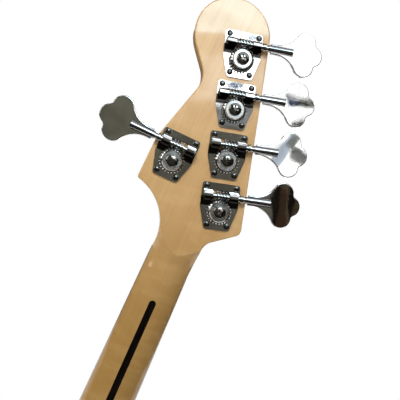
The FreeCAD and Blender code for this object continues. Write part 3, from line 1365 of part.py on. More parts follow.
def bridge_screw_places():
    z = SADDLE_Z + S.bridge_front - S.bridge_screw_inset
    return [Placement(Vector(saddle_x(string), BRIDGE_TOP, z), FACING_FRONT) for string in STRINGS]


def control_screw_places():
    places = []
    for end in (-1, 1):
        spot = control_point(end * (PLATE_REACH - S.control_screw_inset))
        places.append(Placement(Vector(spot.x, CONTROL_TOP, spot.z), FACING_FRONT))
    return places


def button_screw_places():
    seat = Placement(Vector(0, 0, S.body_screw_rise - S.button_head_half), Rotation(Vector(1, 0, 0), 180))
    return [place.multiply(seat) for place in button_places()]


def body_screw_places():
    """Placements of the body screws that share one length, heads on what they hold."""
    return bridge_screw_places() + control_screw_places() + button_screw_places()


def pickup_middles():
    return {"bridge_pickup": SADDLE_Z + S.bridge_pickup_z, "neck_pickup": SADDLE_Z + S.neck_pickup_z}


def pickup_screw_places():
    places = []
    for z in pickup_middles().values():
        for side in (-1, 1):
            x = side * (S.pickup_length / 2 - S.pickup_screw_inset)
            places.append(Placement(Vector(x, FRONT - S.pickup_rise, z), FACING_FRONT))
    return places


def screw_hole(place, length, radius):
    """Pilot hole for a screw at a placement."""
    way = place.Rotation.multVec(Vector(0, 0, 1))
    tip = place.Base - way * (length + S.blind_gap)
    return rod_between(tip, place.Base + way * CUTTER_REACH, radius + S.screw_gap)


def make_body():
    face = Part.Face(Part.Wire([outline_curve().toShape()]))
    blank = face.extrude(Vector(0, S.body_thickness, 0))
    rims = [edge for edge in blank.Edges if edge.Closed]
    blank = blank.makeFillet(S.body_edge_radius, rims)
    reach = S.body_thickness
    pocket = plan_prism(heel_corners(S.joint_gap, MOUTH_Z + S.horn_height), POCKET - reach, reach)
    rod_access = rod_between(Vector(0, FRONT - CUTTER_REACH, HEEL_Z),
                             Vector(0, ROD_Y + S.rod_nut_radius + S.rod_access, HEEL_Z),
                             S.rod_nut_radius + S.rod_access)
    cutters = [pocket, rod_access]
    for z in pickup_middles().values():
        across = S.pickup_length / 2 + S.joint_gap
        along = S.pickup_width / 2 + S.joint_gap
        corners = [((-across, z - along), S.pickup_corner), ((across, z - along), S.pickup_corner),
                   ((across, z + along), S.pickup_corner), ((-across, z + along), S.pickup_corner)]
        cutters.append(plan_prism(corners, FRONT - CUTTER_REACH, S.pickup_sink + CUTTER_REACH))
    cutters.append(control_slot(CAVITY_REACH, S.cavity_radius, S.cavity_depth))
    for place in neck_screw_places():
        cutters.append(rod_between(place.Base, Vector(place.Base.x, FRONT - CUTTER_REACH, place.Base.z),
                                   S.neck_screw_radius + S.screw_gap))
    for place in body_screw_places():
        cutters.append(screw_hole(place, S.body_screw_length, S.body_screw_radius))
    for place in pickup_screw_places():
        cutters.append(screw_hole(place, S.pickup_screw_length, S.body_screw_radius))
    for place in button_places():
        way = place.Rotation.multVec(Vector(0, 0, 1))
        seat = place.Base + way * S.butt_height
        cutters.append(rod_between(place.Base, seat, S.button_foot + S.button_seat_gap))
    export_shape("body", blank.cut(cutters))


def make_neck_plate():
    body = new_body("neck_plate")
    across = "neck_plate_width / 2"
    along = "(pocket_length / 2 - neck_plate_margin)"
    outline = [(f"-{across}", f"-{along}"), (across, f"-{along}"), (across, along), (f"-{across}", along)]
    holes = []
    for x in ("-", ""):
        for y in ("-", ""):
            holes.append((f"{x}({across} - neck_screw_inset)", f"{y}({along} - neck_screw_inset)",
                          "neck_screw_radius + 2 * screw_gap"))
    add_feature(body, "Pad", add_sketch(body, "XY_Plane", [outline], holes), Length="neck_plate_thickness")
    add_fillet(body, "neck_plate_corner",
               lambda edge: upright(edge) and edge.Curve.TypeId == "Part::GeomLine")
    export_body("neck_plate", body, Placement(neck_plate_middle(), FACING_BACK))
    screw = screw_body("neck_screw_form", "neck_screw")
    export_shape("neck_screws", copies(screw.Shape, neck_screw_places()))


def make_bridge():
    wall_low = SADDLE_Z - S.bridge_back
    wall_high = wall_low + S.bridge_thickness
    half = S.bridge_width / 2
    front_z = SADDLE_Z + S.bridge_front
    base_plan = [((-half, wall_low), S.bridge_back_corner), ((half, wall_low), S.bridge_back_corner),
                 ((half, front_z), S.bridge_corner), ((-half, front_z), S.bridge_corner)]
    base = plan_prism(base_plan, BRIDGE_TOP, S.bridge_thickness)
    wall = box_between(Vector(-half, BRIDGE_WALL_TOP, wall_low), Vector(half, FRONT, wall_high))
    top_edges = [edge for edge in wall.Edges if upright(edge) and edge.CenterOfMass.y < BRIDGE_TOP]
    wall = wall.makeFillet(S.bridge_wall_corner, top_edges)
    cutters = []
    for string in STRINGS:
        x = saddle_x(string)
        for y, radius in ((STRING_HOLE_Y, S.string_hole),
                          (SADDLE_SCREW_Y, S.saddle_screw_radius + 2 * S.screw_gap)):
            cutters.append(rod_between(Vector(x, y, wall_low - CUTTER_REACH),
                                       Vector(x, y, wall_high + CUTTER_REACH), radius))
    for place in bridge_screw_places():
        cutters.append(screw_hole(place, S.body_screw_length, S.body_screw_radius + S.screw_gap))
    plate = base.fuse(wall).cut(cutters).removeSplitter()
    export_shape("bridge_plate", plate)

    for string in STRINGS:
        x = saddle_x(string)
        barrel_start = Vector(x - S.saddle_length / 2, SADDLE_Y, SADDLE_Z)
        barrel = Part.makeCylinder(S.saddle_radius, S.saddle_length, barrel_start, Vector(1, 0, 0))
        ends = [edge for edge in barrel.Edges if edge.Closed]
        barrel = barrel.makeChamfer(S.turned_edge, ends)
        reach = S.saddle_radius + CUTTER_REACH
        middle = Vector(x, SADDLE_SCREW_Y, SADDLE_Z)
        bores = [rod_between(middle - Vector(0, 0, reach), middle + Vector(0, 0, reach),
                             S.saddle_screw_radius + S.running_gap)]
        pins = []
        for side in (-1, 1):
            pin_x = x + side * S.height_screw_half
            foot = Vector(pin_x, BRIDGE_TOP - S.running_gap, SADDLE_Z)
            top = Vector(pin_x, SADDLE_Y - S.saddle_radius + S.height_screw_sink, SADDLE_Z)
            pins.append(rod_between(foot, top, S.saddle_screw_radius))
            bores.append(rod_between(foot, top - Vector(0, reach, 0), S.saddle_screw_radius + S.screw_gap))
        saddle = Part.makeCompound([barrel.cut(bores)] + pins)
        export_shape(f"saddle_{string + 1}", saddle)

    tip = "bridge_back + saddle_radius + saddle_screw_beyond"
    screw = turned_body("intonation_screw_form", [
        ("0", "-saddle_screw_rise"), ("saddle_screw_head", "-saddle_screw_rise"), ("saddle_screw_head", "0"),
        ("saddle_screw_radius", "0"), ("saddle_screw_radius", tip), ("0", tip)])
    places = [Placement(Vector(saddle_x(string), SADDLE_SCREW_Y, wall_low), Rotation()) for string in STRINGS]
    export_shape("intonation_screws", copies(screw.Shape, places))


def make_pickups():
    across = "pickup_length / 2"
    along = "pickup_width / 2"
    outline = [(f"-{across}", f"-{along}"), (across, f"-{along}"), (across, along), (f"-{across}", along)]
    holes = []
    for side in ("-", ""):
        holes.append((f"{side}({across} - pickup_screw_inset)", "0", "body_screw_radius + 2 * screw_gap"))
    for string in STRINGS:
        for side in ("-", "+"):
            spot = f"{string - MIDDLE_STRING} * saddle_spacing {side} pole_half"
            holes.append((spot, "0", "pole_radius + screw_gap"))
    poles = []
    for label, z in pickup_middles().items():
        body = new_body(label)
        sketch = add_sketch(body, "XY_Plane", [outline], holes)
        add_feature(body, "Pad", sketch, Length="pickup_rise + pickup_sink")
        add_fillet(body, "pickup_corner - joint_gap",
                   lambda edge: upright(edge) and edge.Curve.TypeId == "Part::GeomLine")
        top = S.pickup_rise + S.pickup_sink
        add_fillet(body, "pickup_edge", lambda edge: abs(edge.BoundBox.ZMin - top) < SAME and not edge.Closed)
        export_body(label, body, Placement(Vector(0, FRONT + S.pickup_sink, z), FACING_FRONT))
        for string in STRINGS:
            for side in (-1, 1):
                x = saddle_x(string) + side * S.pole_half
                poles.append(rod_between(Vector(x, FRONT + S.pickup_sink, z),
                                         Vector(x, FRONT - S.pickup_rise - S.pole_rise, z), S.pole_radius))
    export_shape("pole_pieces", Part.makeCompound(poles))


def make_body_screws():
    short = screw_body("body_screw_form", "body_screw")
    long = screw_body("pickup_screw_form", "body_screw", "pickup_screw_length")
    screws = copies(short.Shape, body_screw_places()).Solids
    screws += copies(long.Shape, pickup_screw_places()).Solids
    export_shape("body_screws", Part.makeCompound(screws))


def control_spots():
    """Middles of the three knobs and the jack on the control plate."""
    return [control_point(step * S.control_spacing - CONTROL_REACH) for step in CONTROLS]


def make_controls():
    plate = control_slot(PLATE_REACH, S.cavity_radius + S.cavity_lip, S.control_thickness)
    plate = plate.removeSplitter().translated(Vector(0, -S.control_thickness, 0))
    cutters = []
    through = Vector(0, S.control_thickness + CUTTER_REACH, 0)
    for spot, radius in zip(control_spots(), [S.pot_bush] * len(KNOBS) + [S.jack_bush]):
        cutters.append(rod_between(spot - through, spot + through, radius + S.screw_gap))
    for place in control_screw_places():
        cutters.append(screw_hole(place, S.body_screw_length, S.body_screw_radius + S.screw_gap))
    export_shape("control_plate", plate.cut(cutters))

    bore = "shaft_radius + running_gap"
    under = "-control_thickness"
    pot = turned_body("potentiometer_form", [
        (bore, under + " - pot_drop - pot_well"), ("0", under + " - pot_drop - pot_well"),
        ("0", under + " - pot_drop - pot_height"), ("pot_radius", under + " - pot_drop - pot_height"),
        ("pot_radius", under + " - pot_drop"), ("pot_bush + pot_shoulder", under + " - pot_drop"),
        ("pot_bush + pot_shoulder", under), ("pot_bush", under), ("pot_bush", "0"), ("pot_nut", "0"),
        ("pot_nut", "pot_bush_rise"), (bore, "pot_bush_rise")])
    places = [Placement(Vector(spot.x, CONTROL_TOP, spot.z), FACING_FRONT) for spot in control_spots()]
    export_shape("potentiometers", copies(pot.Shape, places[:len(KNOBS)]))

    for number in KNOBS:
        label = f"knob_{number + 1}"
        knob = turned_body(label, [
            ("shaft_radius + screw_gap", "knob_gap"), ("knob_radius", "knob_gap"),
            ("knob_radius", "knob_gap + knob_skirt"), ("knob_top_radius", "knob_gap + knob_height"),
            ("0", "knob_gap + knob_height"), ("0", "knob_gap + shaft_in_knob + blind_gap"),
            ("shaft_radius + screw_gap", "knob_gap + shaft_in_knob + blind_gap")])
        top = S.knob_gap + S.knob_height
        add_fillet(knob, "knob_edge", lambda edge: abs(edge.BoundBox.ZMin - top) < SAME)
        low = -S.control_thickness - S.pot_drop - S.pot_well + S.blind_gap
        shaft = Part.makeCylinder(S.shaft_radius, S.knob_gap + S.shaft_in_knob - low, Vector(0, 0, low))
        pair = Part.makeCompound([knob.Shape, shaft])
        knob.Label = label + "_form"
        export_shape(label, pair, places[number])

    jack = turned_body("output_jack", [
        ("jack_bore", under + " - jack_length"), ("jack_can", under + " - jack_length"),
        ("jack_can", under), ("jack_bush", under), ("jack_bush", "0"), ("jack_nut", "0"),
        ("jack_nut", "jack_nut_height"), ("jack_bush", "jack_nut_height"),
        ("jack_bush", "jack_nut_height + jack_lip"), ("jack_bore", "jack_nut_height + jack_lip")])
    export_body("output_jack", jack, places[-1])


def make_strap_buttons():
    recess = "-button_head_half + body_screw_rise"
    hole = "body_screw_radius + 2 * screw_gap"
    button = turned_body("strap_button_form", [
        ("body_screw_head + recess_gap", "-button_head_half"), ("button_head", "-button_head_half"),
        ("button_head", "button_head_half"), ("button_stem", "button_head_half + turned_edge"),
        ("button_stem", "butt_height - button_foot_height - turned_edge"),
        ("button_foot", "butt_height - button_foot_height"), ("button_foot", "butt_height"),
        (hole, "butt_height"), (hole, recess), ("body_screw_head + recess_gap", recess)])
    export_shape("strap_buttons", copies(button.Shape, button_places()))


make_neck()
make_truss_rod()
make_fretboard()
make_nut()
make_strings()
make_tuner_plates()
make_posts()
make_tuners()
make_retainer()
make_body()
make_neck_plate()
make_bridge()
make_pickups()
make_body_screws()
make_controls()
make_strap_buttons()
doc.recompute()

for item in doc.Objects:
    if "Invalid" in item.State or "Error" in item.State:
        raise RuntimeError(f"{item.Label} did not build: {item.State}")
for label, item in nodes.items():
    if item.Shape.isNull() or not item.Shape.isValid():
        raise RuntimeError(f"{label} has no valid shape")

os.makedirs("parts", exist_ok=True)
for label, item in nodes.items():
    item.Shape.exportStep(f"parts/{label}.step")
print(len(nodes), "nodes", sum(len(item.Shape.Solids) for item in nodes.values()), "solids")
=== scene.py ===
import json
import math
import random

import bmesh
import bpy
from bpy.props import FloatProperty, FloatVectorProperty, IntProperty, PointerProperty
from mathutils import Matrix, Vector


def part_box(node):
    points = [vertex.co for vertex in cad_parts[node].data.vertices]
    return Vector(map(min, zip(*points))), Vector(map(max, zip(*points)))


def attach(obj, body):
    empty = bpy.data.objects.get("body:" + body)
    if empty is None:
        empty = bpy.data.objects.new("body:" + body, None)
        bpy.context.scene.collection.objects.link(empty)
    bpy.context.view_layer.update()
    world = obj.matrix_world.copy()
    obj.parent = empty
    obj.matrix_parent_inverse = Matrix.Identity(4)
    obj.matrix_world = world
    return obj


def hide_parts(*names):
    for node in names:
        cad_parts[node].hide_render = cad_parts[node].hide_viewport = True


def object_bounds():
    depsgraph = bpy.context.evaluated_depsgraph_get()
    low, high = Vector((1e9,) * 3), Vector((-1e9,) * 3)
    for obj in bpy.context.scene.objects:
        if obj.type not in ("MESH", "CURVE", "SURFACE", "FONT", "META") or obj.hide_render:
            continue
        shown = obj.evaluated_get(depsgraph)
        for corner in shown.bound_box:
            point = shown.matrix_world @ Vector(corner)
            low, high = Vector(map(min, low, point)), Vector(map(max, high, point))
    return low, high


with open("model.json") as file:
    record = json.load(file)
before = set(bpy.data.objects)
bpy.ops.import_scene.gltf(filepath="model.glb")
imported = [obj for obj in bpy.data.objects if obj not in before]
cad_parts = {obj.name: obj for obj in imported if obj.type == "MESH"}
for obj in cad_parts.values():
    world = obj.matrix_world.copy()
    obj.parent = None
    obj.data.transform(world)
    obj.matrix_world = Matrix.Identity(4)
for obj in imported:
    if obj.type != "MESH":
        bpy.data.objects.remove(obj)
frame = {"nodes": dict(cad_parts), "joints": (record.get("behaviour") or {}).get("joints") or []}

bl_info = {
    "name": "Bass guitar looks",
    "version": (1, 0, 0),
    "blender": (4, 5, 0),
    "location": "View3D > Sidebar > Bass",
    "description": "Finishes, strings, screws and knobs for the bass guitar, and a plain studio",
    "category": "Object",
}

CAD_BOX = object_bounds()
NODES = frame["nodes"]
JOINTS = {joint["name"]: joint for joint in frame["joints"]}
TUNERS = (1, 2, 3, 4, 5)
KNOBS = (1, 2, 3)
SADDLES = (1, 2, 3, 4, 5)
MM = 0.001


# Settings that a user would change


def colour(name, description, default):
    return FloatVectorProperty(name=name, description=description, subtype="COLOR", size=3,
                               min=0.0, max=1.0, default=default)


def length(name, description, millimetres):
    return FloatProperty(name=name, description=description, subtype="DISTANCE", unit="LENGTH",
                         min=0.0, precision=5, default=millimetres * MM)


def share(name, description, default):
    return FloatProperty(name=name, description=description, subtype="FACTOR", min=0.0, max=1.0,
                         default=default)


def slant(name, description, degrees):
    return FloatProperty(name=name, description=description, subtype="ANGLE", unit="ROTATION",
                         default=math.radians(degrees))


def power(name, description, watts):
    return FloatProperty(name=name, description=description, subtype="POWER", unit="POWER", min=0.0,
                         default=watts)


def count(name, description, least, most, default):
    return IntProperty(name=name, description=description, min=least, max=most, default=default)


class BASS_PG_wood(bpy.types.PropertyGroup):
    """Colours of the wooden pieces."""
    maple_pale: colour("Pale maple", "Lightest bands of the neck wood", (0.70, 0.455, 0.205))
    maple_tan: colour("Tan maple", "Darker bands of the neck wood", (0.60, 0.36, 0.145))
    # The neck turns to this colour towards its bottom: darker and more amber wood there
    maple_amber: colour("Amber lacquer", "Neck wood under older lacquer", (0.365, 0.205, 0.050))
    maple_fleck: colour("Maple flecks", "Short dark flecks in the neck wood", (0.36, 0.19, 0.08))
    # Painted shade: the wood under the worms lies in shadow in the plates' slots, and this colour paints it
    maple_painted_shade: colour("Shaded maple", "Stained wood that shows under the worms", (0.040, 0.023, 0.012))
    stripe_dark: colour("Stripe", "Stripe in the back of the neck", (0.0022, 0.0012, 0.0011))
    stripe_light: colour("Stripe grain", "Grain of the stripe", (0.006, 0.004, 0.0035))
    board_dark: colour("Dark board", "Dark bands of the fretboard", (0.030, 0.013, 0.008))
    board_light: colour("Light board", "Light bands of the fretboard", (0.105, 0.045, 0.022))
    burst_middle: colour("Body middle", "Middle of the body's finish", (0.66, 0.30, 0.055))
    burst_ring: colour("Body ring", "Ring between middle and edge", (0.27, 0.045, 0.012))
    burst_edge: colour("Body edge", "Edge of the body's finish", (0.012, 0.007, 0.006))


class BASS_PG_metal(bpy.types.PropertyGroup):
    """Colours of the metal pieces."""
    chrome: colour("Chrome", "Plates, keys and bridge", (0.80, 0.80, 0.81))
    gear: colour("Gears", "Gears and saddles", (0.74, 0.735, 0.72))
    worm: colour("Worms", "Worms and the key shafts that they are cut on", (0.46, 0.45, 0.44))
    ring: colour("Gear rings", "Satin ring on each gear", (0.56, 0.56, 0.55))
    screw: colour("Screws", "Screw heads of the body and the gears", (0.32, 0.305, 0.29))
    tuner_screw: colour("Plate screws", "Darker screw heads of the tuner plates", (0.19, 0.18, 0.168))
    # Painted shade on the plate between each worm and its gear, where the worm shades it and mirrors darkly
    # in it
    worm_shade: colour("Grease", "Darkened metal between the worms and the gears", (0.030, 0.028, 0.025))
    barrel: colour("Key barrels", "Darker barrels of the keys", (0.42, 0.41, 0.425))
    steel: colour("Steel", "Truss rod, controls and pole pieces", (0.50, 0.50, 0.51))
    string: colour("Strings", "Wound wire", (0.56, 0.545, 0.51))
    fret: colour("Frets", "Fret wire", (0.70, 0.68, 0.62))


class BASS_PG_plastic(bpy.types.PropertyGroup):
    """Colours of plastic, bone and pearl."""
    cover: colour("Pickup covers", "Satin covers", (0.014, 0.014, 0.015))
    knob: colour("Knobs", "Moulded knobs", (0.012, 0.012, 0.013))
    pointer: colour("Pointers", "Line on each knob", (0.80, 0.78, 0.72))
    bone: colour("Nut", "Bone-like nut", (0.78, 0.70, 0.53))
    pearl: colour("Fret markers", "Pearl-like dots", (0.76, 0.74, 0.69))


class BASS_PG_strings(bpy.types.PropertyGroup):
    """Sizes of the strings."""
    thickest: length("Thickest string", "Diameter of the thickest string", 3.3)
    second: length("Second string", "Diameter of the second string", 2.67)
    third: length("Third string", "Diameter of the third string", 2.16)
    fourth: length("Fourth string", "Diameter of the fourth string", 1.65)
    thinnest: length("Thinnest string", "Diameter of the thinnest string", 1.14)
    nut_spacing: length("Spacing at the nut", "String to string at the nut", 9.5)
    wrap_pitch: length("Wrap pitch", "Turn to turn of the wire wound on a string", 0.42)
    sides: count("Sides", "Sides of a string's round section", 6, 32, 12)


class BASS_PG_fittings(bpy.types.PropertyGroup):
    """Sizes of screws, gears and knobs."""
    recess_reach: share("Recess reach", "Cross recess against the head's radius", 0.56)
    recess_width: share("Recess width", "Width of a recess arm against the head's radius", 0.22)
    recess_depth: share("Recess depth", "Cross recess against the head's height", 0.72)
    screw_sides: count("Screw sides", "Sides of a screw", 12, 64, 28)
    tooth_slope: share("Tooth slope", "Fall of the teeth's bevel against their reach", 0.58)
    knob_ribs: count("Knob ribs", "Ribs round a knob", 12, 90, 48)
    knob_rib_radius: length("Rib radius", "Radius of a knob's rib", 0.42)
    knob_sides: count("Knob sides", "Sides of a knob", 24, 128, 96)


class BASS_PG_stage(bpy.types.PropertyGroup):
    """Camera, lamps and floor."""
    aim: FloatVectorProperty(name="Aim", description="Point in the middle of the picture", subtype="XYZ",
                             unit="LENGTH", size=3, precision=5, default=(-0.000957, -0.0075, 1.023368))
    distance: length("Camera distance", "Camera to the point it looks at", 425)
    roll: slant("Roll", "Turn of the picture about the line of sight", 24.199)
    yaw: slant("Yaw", "Camera round the object, sideways", 8)
    lens: FloatProperty(name="Lens", description="Focal length for a 36 mm wide sensor",
                        subtype="DISTANCE_CAMERA", min=1.0, default=38.25)
    key_power: power("Key lamp", "Power of the large lamp above the tuners", 26.0)
    window_power: power("Window lamp", "Power of the softer lamp beside it", 8.0)
    side_power: power("Side lamp", "Power of the soft lamp at the side", 10.0)
    front_power: power("Front lamp", "Power of the soft lamp before the strings", 30.0)
    fill: FloatProperty(name="Fill light", description="Strength of the light from all round",
                        min=0.0, default=0.34)
    floor: colour("Floor", "Pale floor", (0.86, 0.86, 0.85))
    ceiling: colour("Ceiling", "Pale ceiling that gloss mirrors", (0.92, 0.95, 1.0))
    screen: colour("Screens", "Grey cards that gloss mirrors in front", (0.20, 0.20, 0.21))
    flag: colour("Flags", "Dark cards that gloss mirrors at its edges", (0.030, 0.027, 0.022))


class BASS_PG_settings(bpy.types.PropertyGroup):
    """All settings of the looks."""
    wood: PointerProperty(name="Wood", description="Wooden pieces", type=BASS_PG_wood)
    metal: PointerProperty(name="Metal", description="Metal pieces", type=BASS_PG_metal)
    plastic: PointerProperty(name="Plastic", description="Plastic, bone and pearl", type=BASS_PG_plastic)
    strings: PointerProperty(name="Strings", description="Strings", type=BASS_PG_strings)
    fittings: PointerProperty(name="Fittings", description="Screws, gears and knobs", type=BASS_PG_fittings)
    stage: PointerProperty(name="Stage", description="Camera, lamps and floor", type=BASS_PG_stage)


# Places in the frame


def numbered(stem, numbers):
    return [f"{stem}_{number}" for number in numbers]


def middle_of(node):
    low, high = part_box(node)
    return (low + high) / 2


def post_place(tuner):
    return Vector(JOINTS[f"post_{tuner}_turn"]["pos_m"])


def key_line(tuner):
    """Middle of a worm, and the way along its shaft to the key."""
    joint = JOINTS[f"key_{tuner}_turn"]
    worm = Vector(joint["pos_m"])
    along = Vector(joint["axis"])
    if along.dot(middle_of(f"tuner_key_{tuner}") - worm) < 0:
        along = -along
    return worm, along


def facing(place, way):
    """Matrix that sets a form made along z on a place, pointing a way."""
    return Matrix.Translation(place) @ way.to_track_quat("Z", "Y").to_matrix().to_4x4()


# Node trees


class NodeMaker:
    """A node tree, put together step by step."""

    def __init__(self, tree):
        self.nodes = tree.nodes
        self.links = tree.links

    def feed(self, socket, value):
        """Link a socket to another, or set it to a plain value."""
        if isinstance(value, bpy.types.NodeSocket):
            self.links.new(value, socket)
        else:
            socket.default_value = value

    def node(self, kind, feeds=None, **settings):
        """A node with its settings and its inputs, each a socket or a plain value."""
        made = self.nodes.new(kind)
        for key, value in settings.items():
            setattr(made, key, value)
        for key, value in (feeds or {}).items():
            self.feed(made.inputs[key], value)
        return made

    def add(self, kind, feeds=None, **settings):
        """Outputs of a new node."""
        return self.node(kind, feeds, **settings).outputs

    def work(self, kind, *values, **settings):
        """Feed the inputs that a new node uses, in their order, and give the output that it uses."""
        made = self.node(kind, **settings)
        for socket, value in zip([socket for socket in made.inputs if socket.enabled], values):
            self.feed(socket, value)
        return next(socket for socket in made.outputs if socket.enabled)

    def math(self, operation, *values):
        return self.work("ShaderNodeMath", *values, operation=operation)

    def fit(self, value, low, high, to_low=0.0, to_high=1.0):
        """A value of one range brought smoothly to another."""
        ranges = {"Value": value, "From Min": low, "From Max": high, "To Min": to_low, "To Max": to_high}
        return self.add("ShaderNodeMapRange", ranges, interpolation_type="SMOOTHSTEP")["Result"]

    def seen_directly(self):
        """One for rays that show a backdrop itself or its reflection."""
        path = self.add("ShaderNodeLightPath")
        seen = self.math("MAXIMUM", path["Is Camera Ray"], path["Is Glossy Ray"])
        return self.math("MAXIMUM", seen, path["Is Transmission Ray"])


class Finish(NodeMaker):
    """Node tree of one finish."""

    def __init__(self, name):
        self.material = bpy.data.materials.new(name)
        self.material.use_nodes = True
        super().__init__(self.material.node_tree)
        self.shader = self.nodes["Principled BSDF"]
        self.normal = None

    def set(self, **values):
        """Set the shader's own sockets; an underscore stands for a space."""
        for key, value in values.items():
            self.feed(self.shader.inputs[key.replace("_", " ")], value)

    def place(self, scale=(1, 1, 1)):
        """Object coordinates, scaled."""
        spot = self.add("ShaderNodeTexCoord")["Object"]
        return self.add("ShaderNodeMapping", {"Vector": spot, "Scale": scale})[0]

    def attribute(self, name):
        return self.add("ShaderNodeAttribute", attribute_name=name)["Fac"]

    def noise(self, scale, detail=3.0, roughness=0.55, distortion=0.0, stretch=(1, 1, 1)):
        """Noise over the Object coordinates; a small number in stretch draws it out along that axis."""
        feeds = {"Vector": self.place(stretch), "Scale": scale, "Detail": detail, "Roughness": roughness,
                 "Distortion": distortion}
        return self.add("ShaderNodeTexNoise", feeds)[0]

    def vector_math(self, operation, *values):
        """A sum with vectors; its result is a vector or a number, as the sum gives it."""
        return self.work("ShaderNodeVectorMath", *values, operation=operation)

    def line_distance(self, vector, start, end):
        """Distance from the straight line between two spots."""
        run = Vector(end) - Vector(start)
        offset = self.vector_math("SUBTRACT", vector, start)
        passed = self.math("DIVIDE", self.vector_math("DOT_PRODUCT", offset, run), run.length_squared)
        inside = self.math("MINIMUM", self.math("MAXIMUM", passed, 0.0), 1.0)
        return self.vector_math("DISTANCE", offset, self.vector_math("SCALE", run, inside))

    def mix(self, factor, first, second, blend="MIX"):
        """Mix of two colours."""
        tints = [tint if isinstance(tint, bpy.types.NodeSocket) else (*tint, 1) for tint in (first, second)]
        return self.work("ShaderNodeMix", factor, *tints, data_type="RGBA", blend_type=blend)

    def bump(self, height, strength, distance):
        """Add a relief to the surface, on top of any before it."""
        feeds = {"Height": height, "Strength": strength, "Distance": distance}
        if self.normal is not None:
            feeds["Normal"] = self.normal
        self.normal = self.add("ShaderNodeBump", feeds)["Normal"]
        self.set(Normal=self.normal)


# Finishes

# Scale that leaves the depth out of a place
FLAT = (1, 0, 1)
LACQUER = {"Coat_Weight": 1.0, "Coat_Roughness": 0.05, "Coat_IOR": 1.5}
# Heights where the neck's wood begins to turn darker and more amber, and where it is fully so
AMBER_START, AMBER_FULL = 1.08, 0.86
# Painted shade on the wood under each worm, where it lies in shadow in the plate's slot: how far from its
# middle it is full, and where it ends
WOOD_SHADE_FULL, WOOD_SHADE_END = 10.5 * MM, 12.5 * MM


def maple_finish(wood):
    """Plain maple under clear gloss lacquer, darker and more amber down the neck, with painted shade under
    the worms.
    """
    finish = Finish("maple")
    bands = finish.noise(55, 3, 0.5, 0.3, (1, 0.6, 0.06))
    fibres = finish.noise(700, 4, 0.6, stretch=(1, 1, 0.03))
    curl = finish.noise(75, 2, 0.5, 0.6, (0.35, 0.35, 1))
    flecks = finish.noise(420, 2, stretch=(1, 1, 0.22))
    height = finish.add("ShaderNodeSeparateXYZ", {0: finish.place()})["Z"]
    tone = finish.mix(finish.fit(bands, 0.30, 0.70), wood.maple_pale, wood.maple_tan)
    tone = finish.mix(finish.fit(height, AMBER_START, AMBER_FULL), tone, wood.maple_amber)
    tone = finish.mix(finish.fit(fibres, 0.35, 0.75, 0.0, 0.14), tone, wood.maple_tan, "MULTIPLY")
    tone = finish.mix(finish.fit(curl, 0.42, 0.7, 0.0, 0.10), tone, wood.maple_pale, "SCREEN")
    tone = finish.mix(finish.fit(flecks, 0.66, 0.76, 0.0, 0.30), tone, wood.maple_fleck)
    flat = finish.place(FLAT)
    # Painted shade on the wood under each worm, where it lies in shadow in the plate's slot
    for tuner in TUNERS:
        worm = middle_of(f"tuner_worm_{tuner}")
        away = finish.vector_math("DISTANCE", flat, (worm.x, 0, worm.z))
        tone = finish.mix(finish.fit(away, WOOD_SHADE_END, WOOD_SHADE_FULL), tone, wood.maple_painted_shade)
    finish.set(Base_Color=tone, Roughness=finish.fit(fibres, 0.3, 0.7, 0.34, 0.46), **LACQUER)
    finish.bump(fibres, 0.08, 0.0002)
    return finish.material


def stripe_finish(wood):
    finish = Finish("stripe")
    grain = finish.noise(900, 3, stretch=(1, 1, 0.04))
    finish.set(Base_Color=finish.mix(finish.fit(grain, 0.4, 0.7), wood.stripe_dark, wood.stripe_light),
               Roughness=finish.fit(grain, 0.3, 0.7, 0.38, 0.5), Specular_IOR_Level=0.08)
    finish.bump(grain, 0.1, 0.0002)
    return finish.material


def board_finish(wood):
    """Dark oiled wood with pores and streaks along the neck."""
    finish = Finish("board")
    streaks = finish.noise(160, 4, 0.6, 0.4, (1, 1, 0.03))
    pores = finish.noise(1500, 2, stretch=(1, 1, 0.06))
    tone = finish.mix(finish.fit(streaks, 0.32, 0.68), wood.board_dark, wood.board_light)
    tone = finish.mix(finish.fit(pores, 0.6, 0.72, 0.0, 0.7), tone, wood.board_dark)
    finish.set(Base_Color=tone, Roughness=finish.fit(streaks, 0.3, 0.7, 0.42, 0.56), Specular_IOR_Level=0.4)
    finish.bump(pores, 0.25, 0.0002)
    return finish.material


# Lines that the body's shaded finish is clear along, from (x, z) to (x, z), and how far each reaches
BURST_LINES = (((-0.045, 0.125), (0.045, 0.125), 0.122), ((-0.045, 0.125), (-0.005, 0.27), 0.117),
               ((0.045, 0.125), (0.0, 0.27), 0.115), ((-0.005, 0.27), (-0.05, 0.385), 0.096),
               ((0.0, 0.27), (0.04, 0.37), 0.092), ((-0.05, 0.385), (-0.110, 0.443), 0.050),
               ((0.04, 0.37), (0.088, 0.402), 0.050))
BURST_FADE = 0.072
BURST_BLEND = 0.3


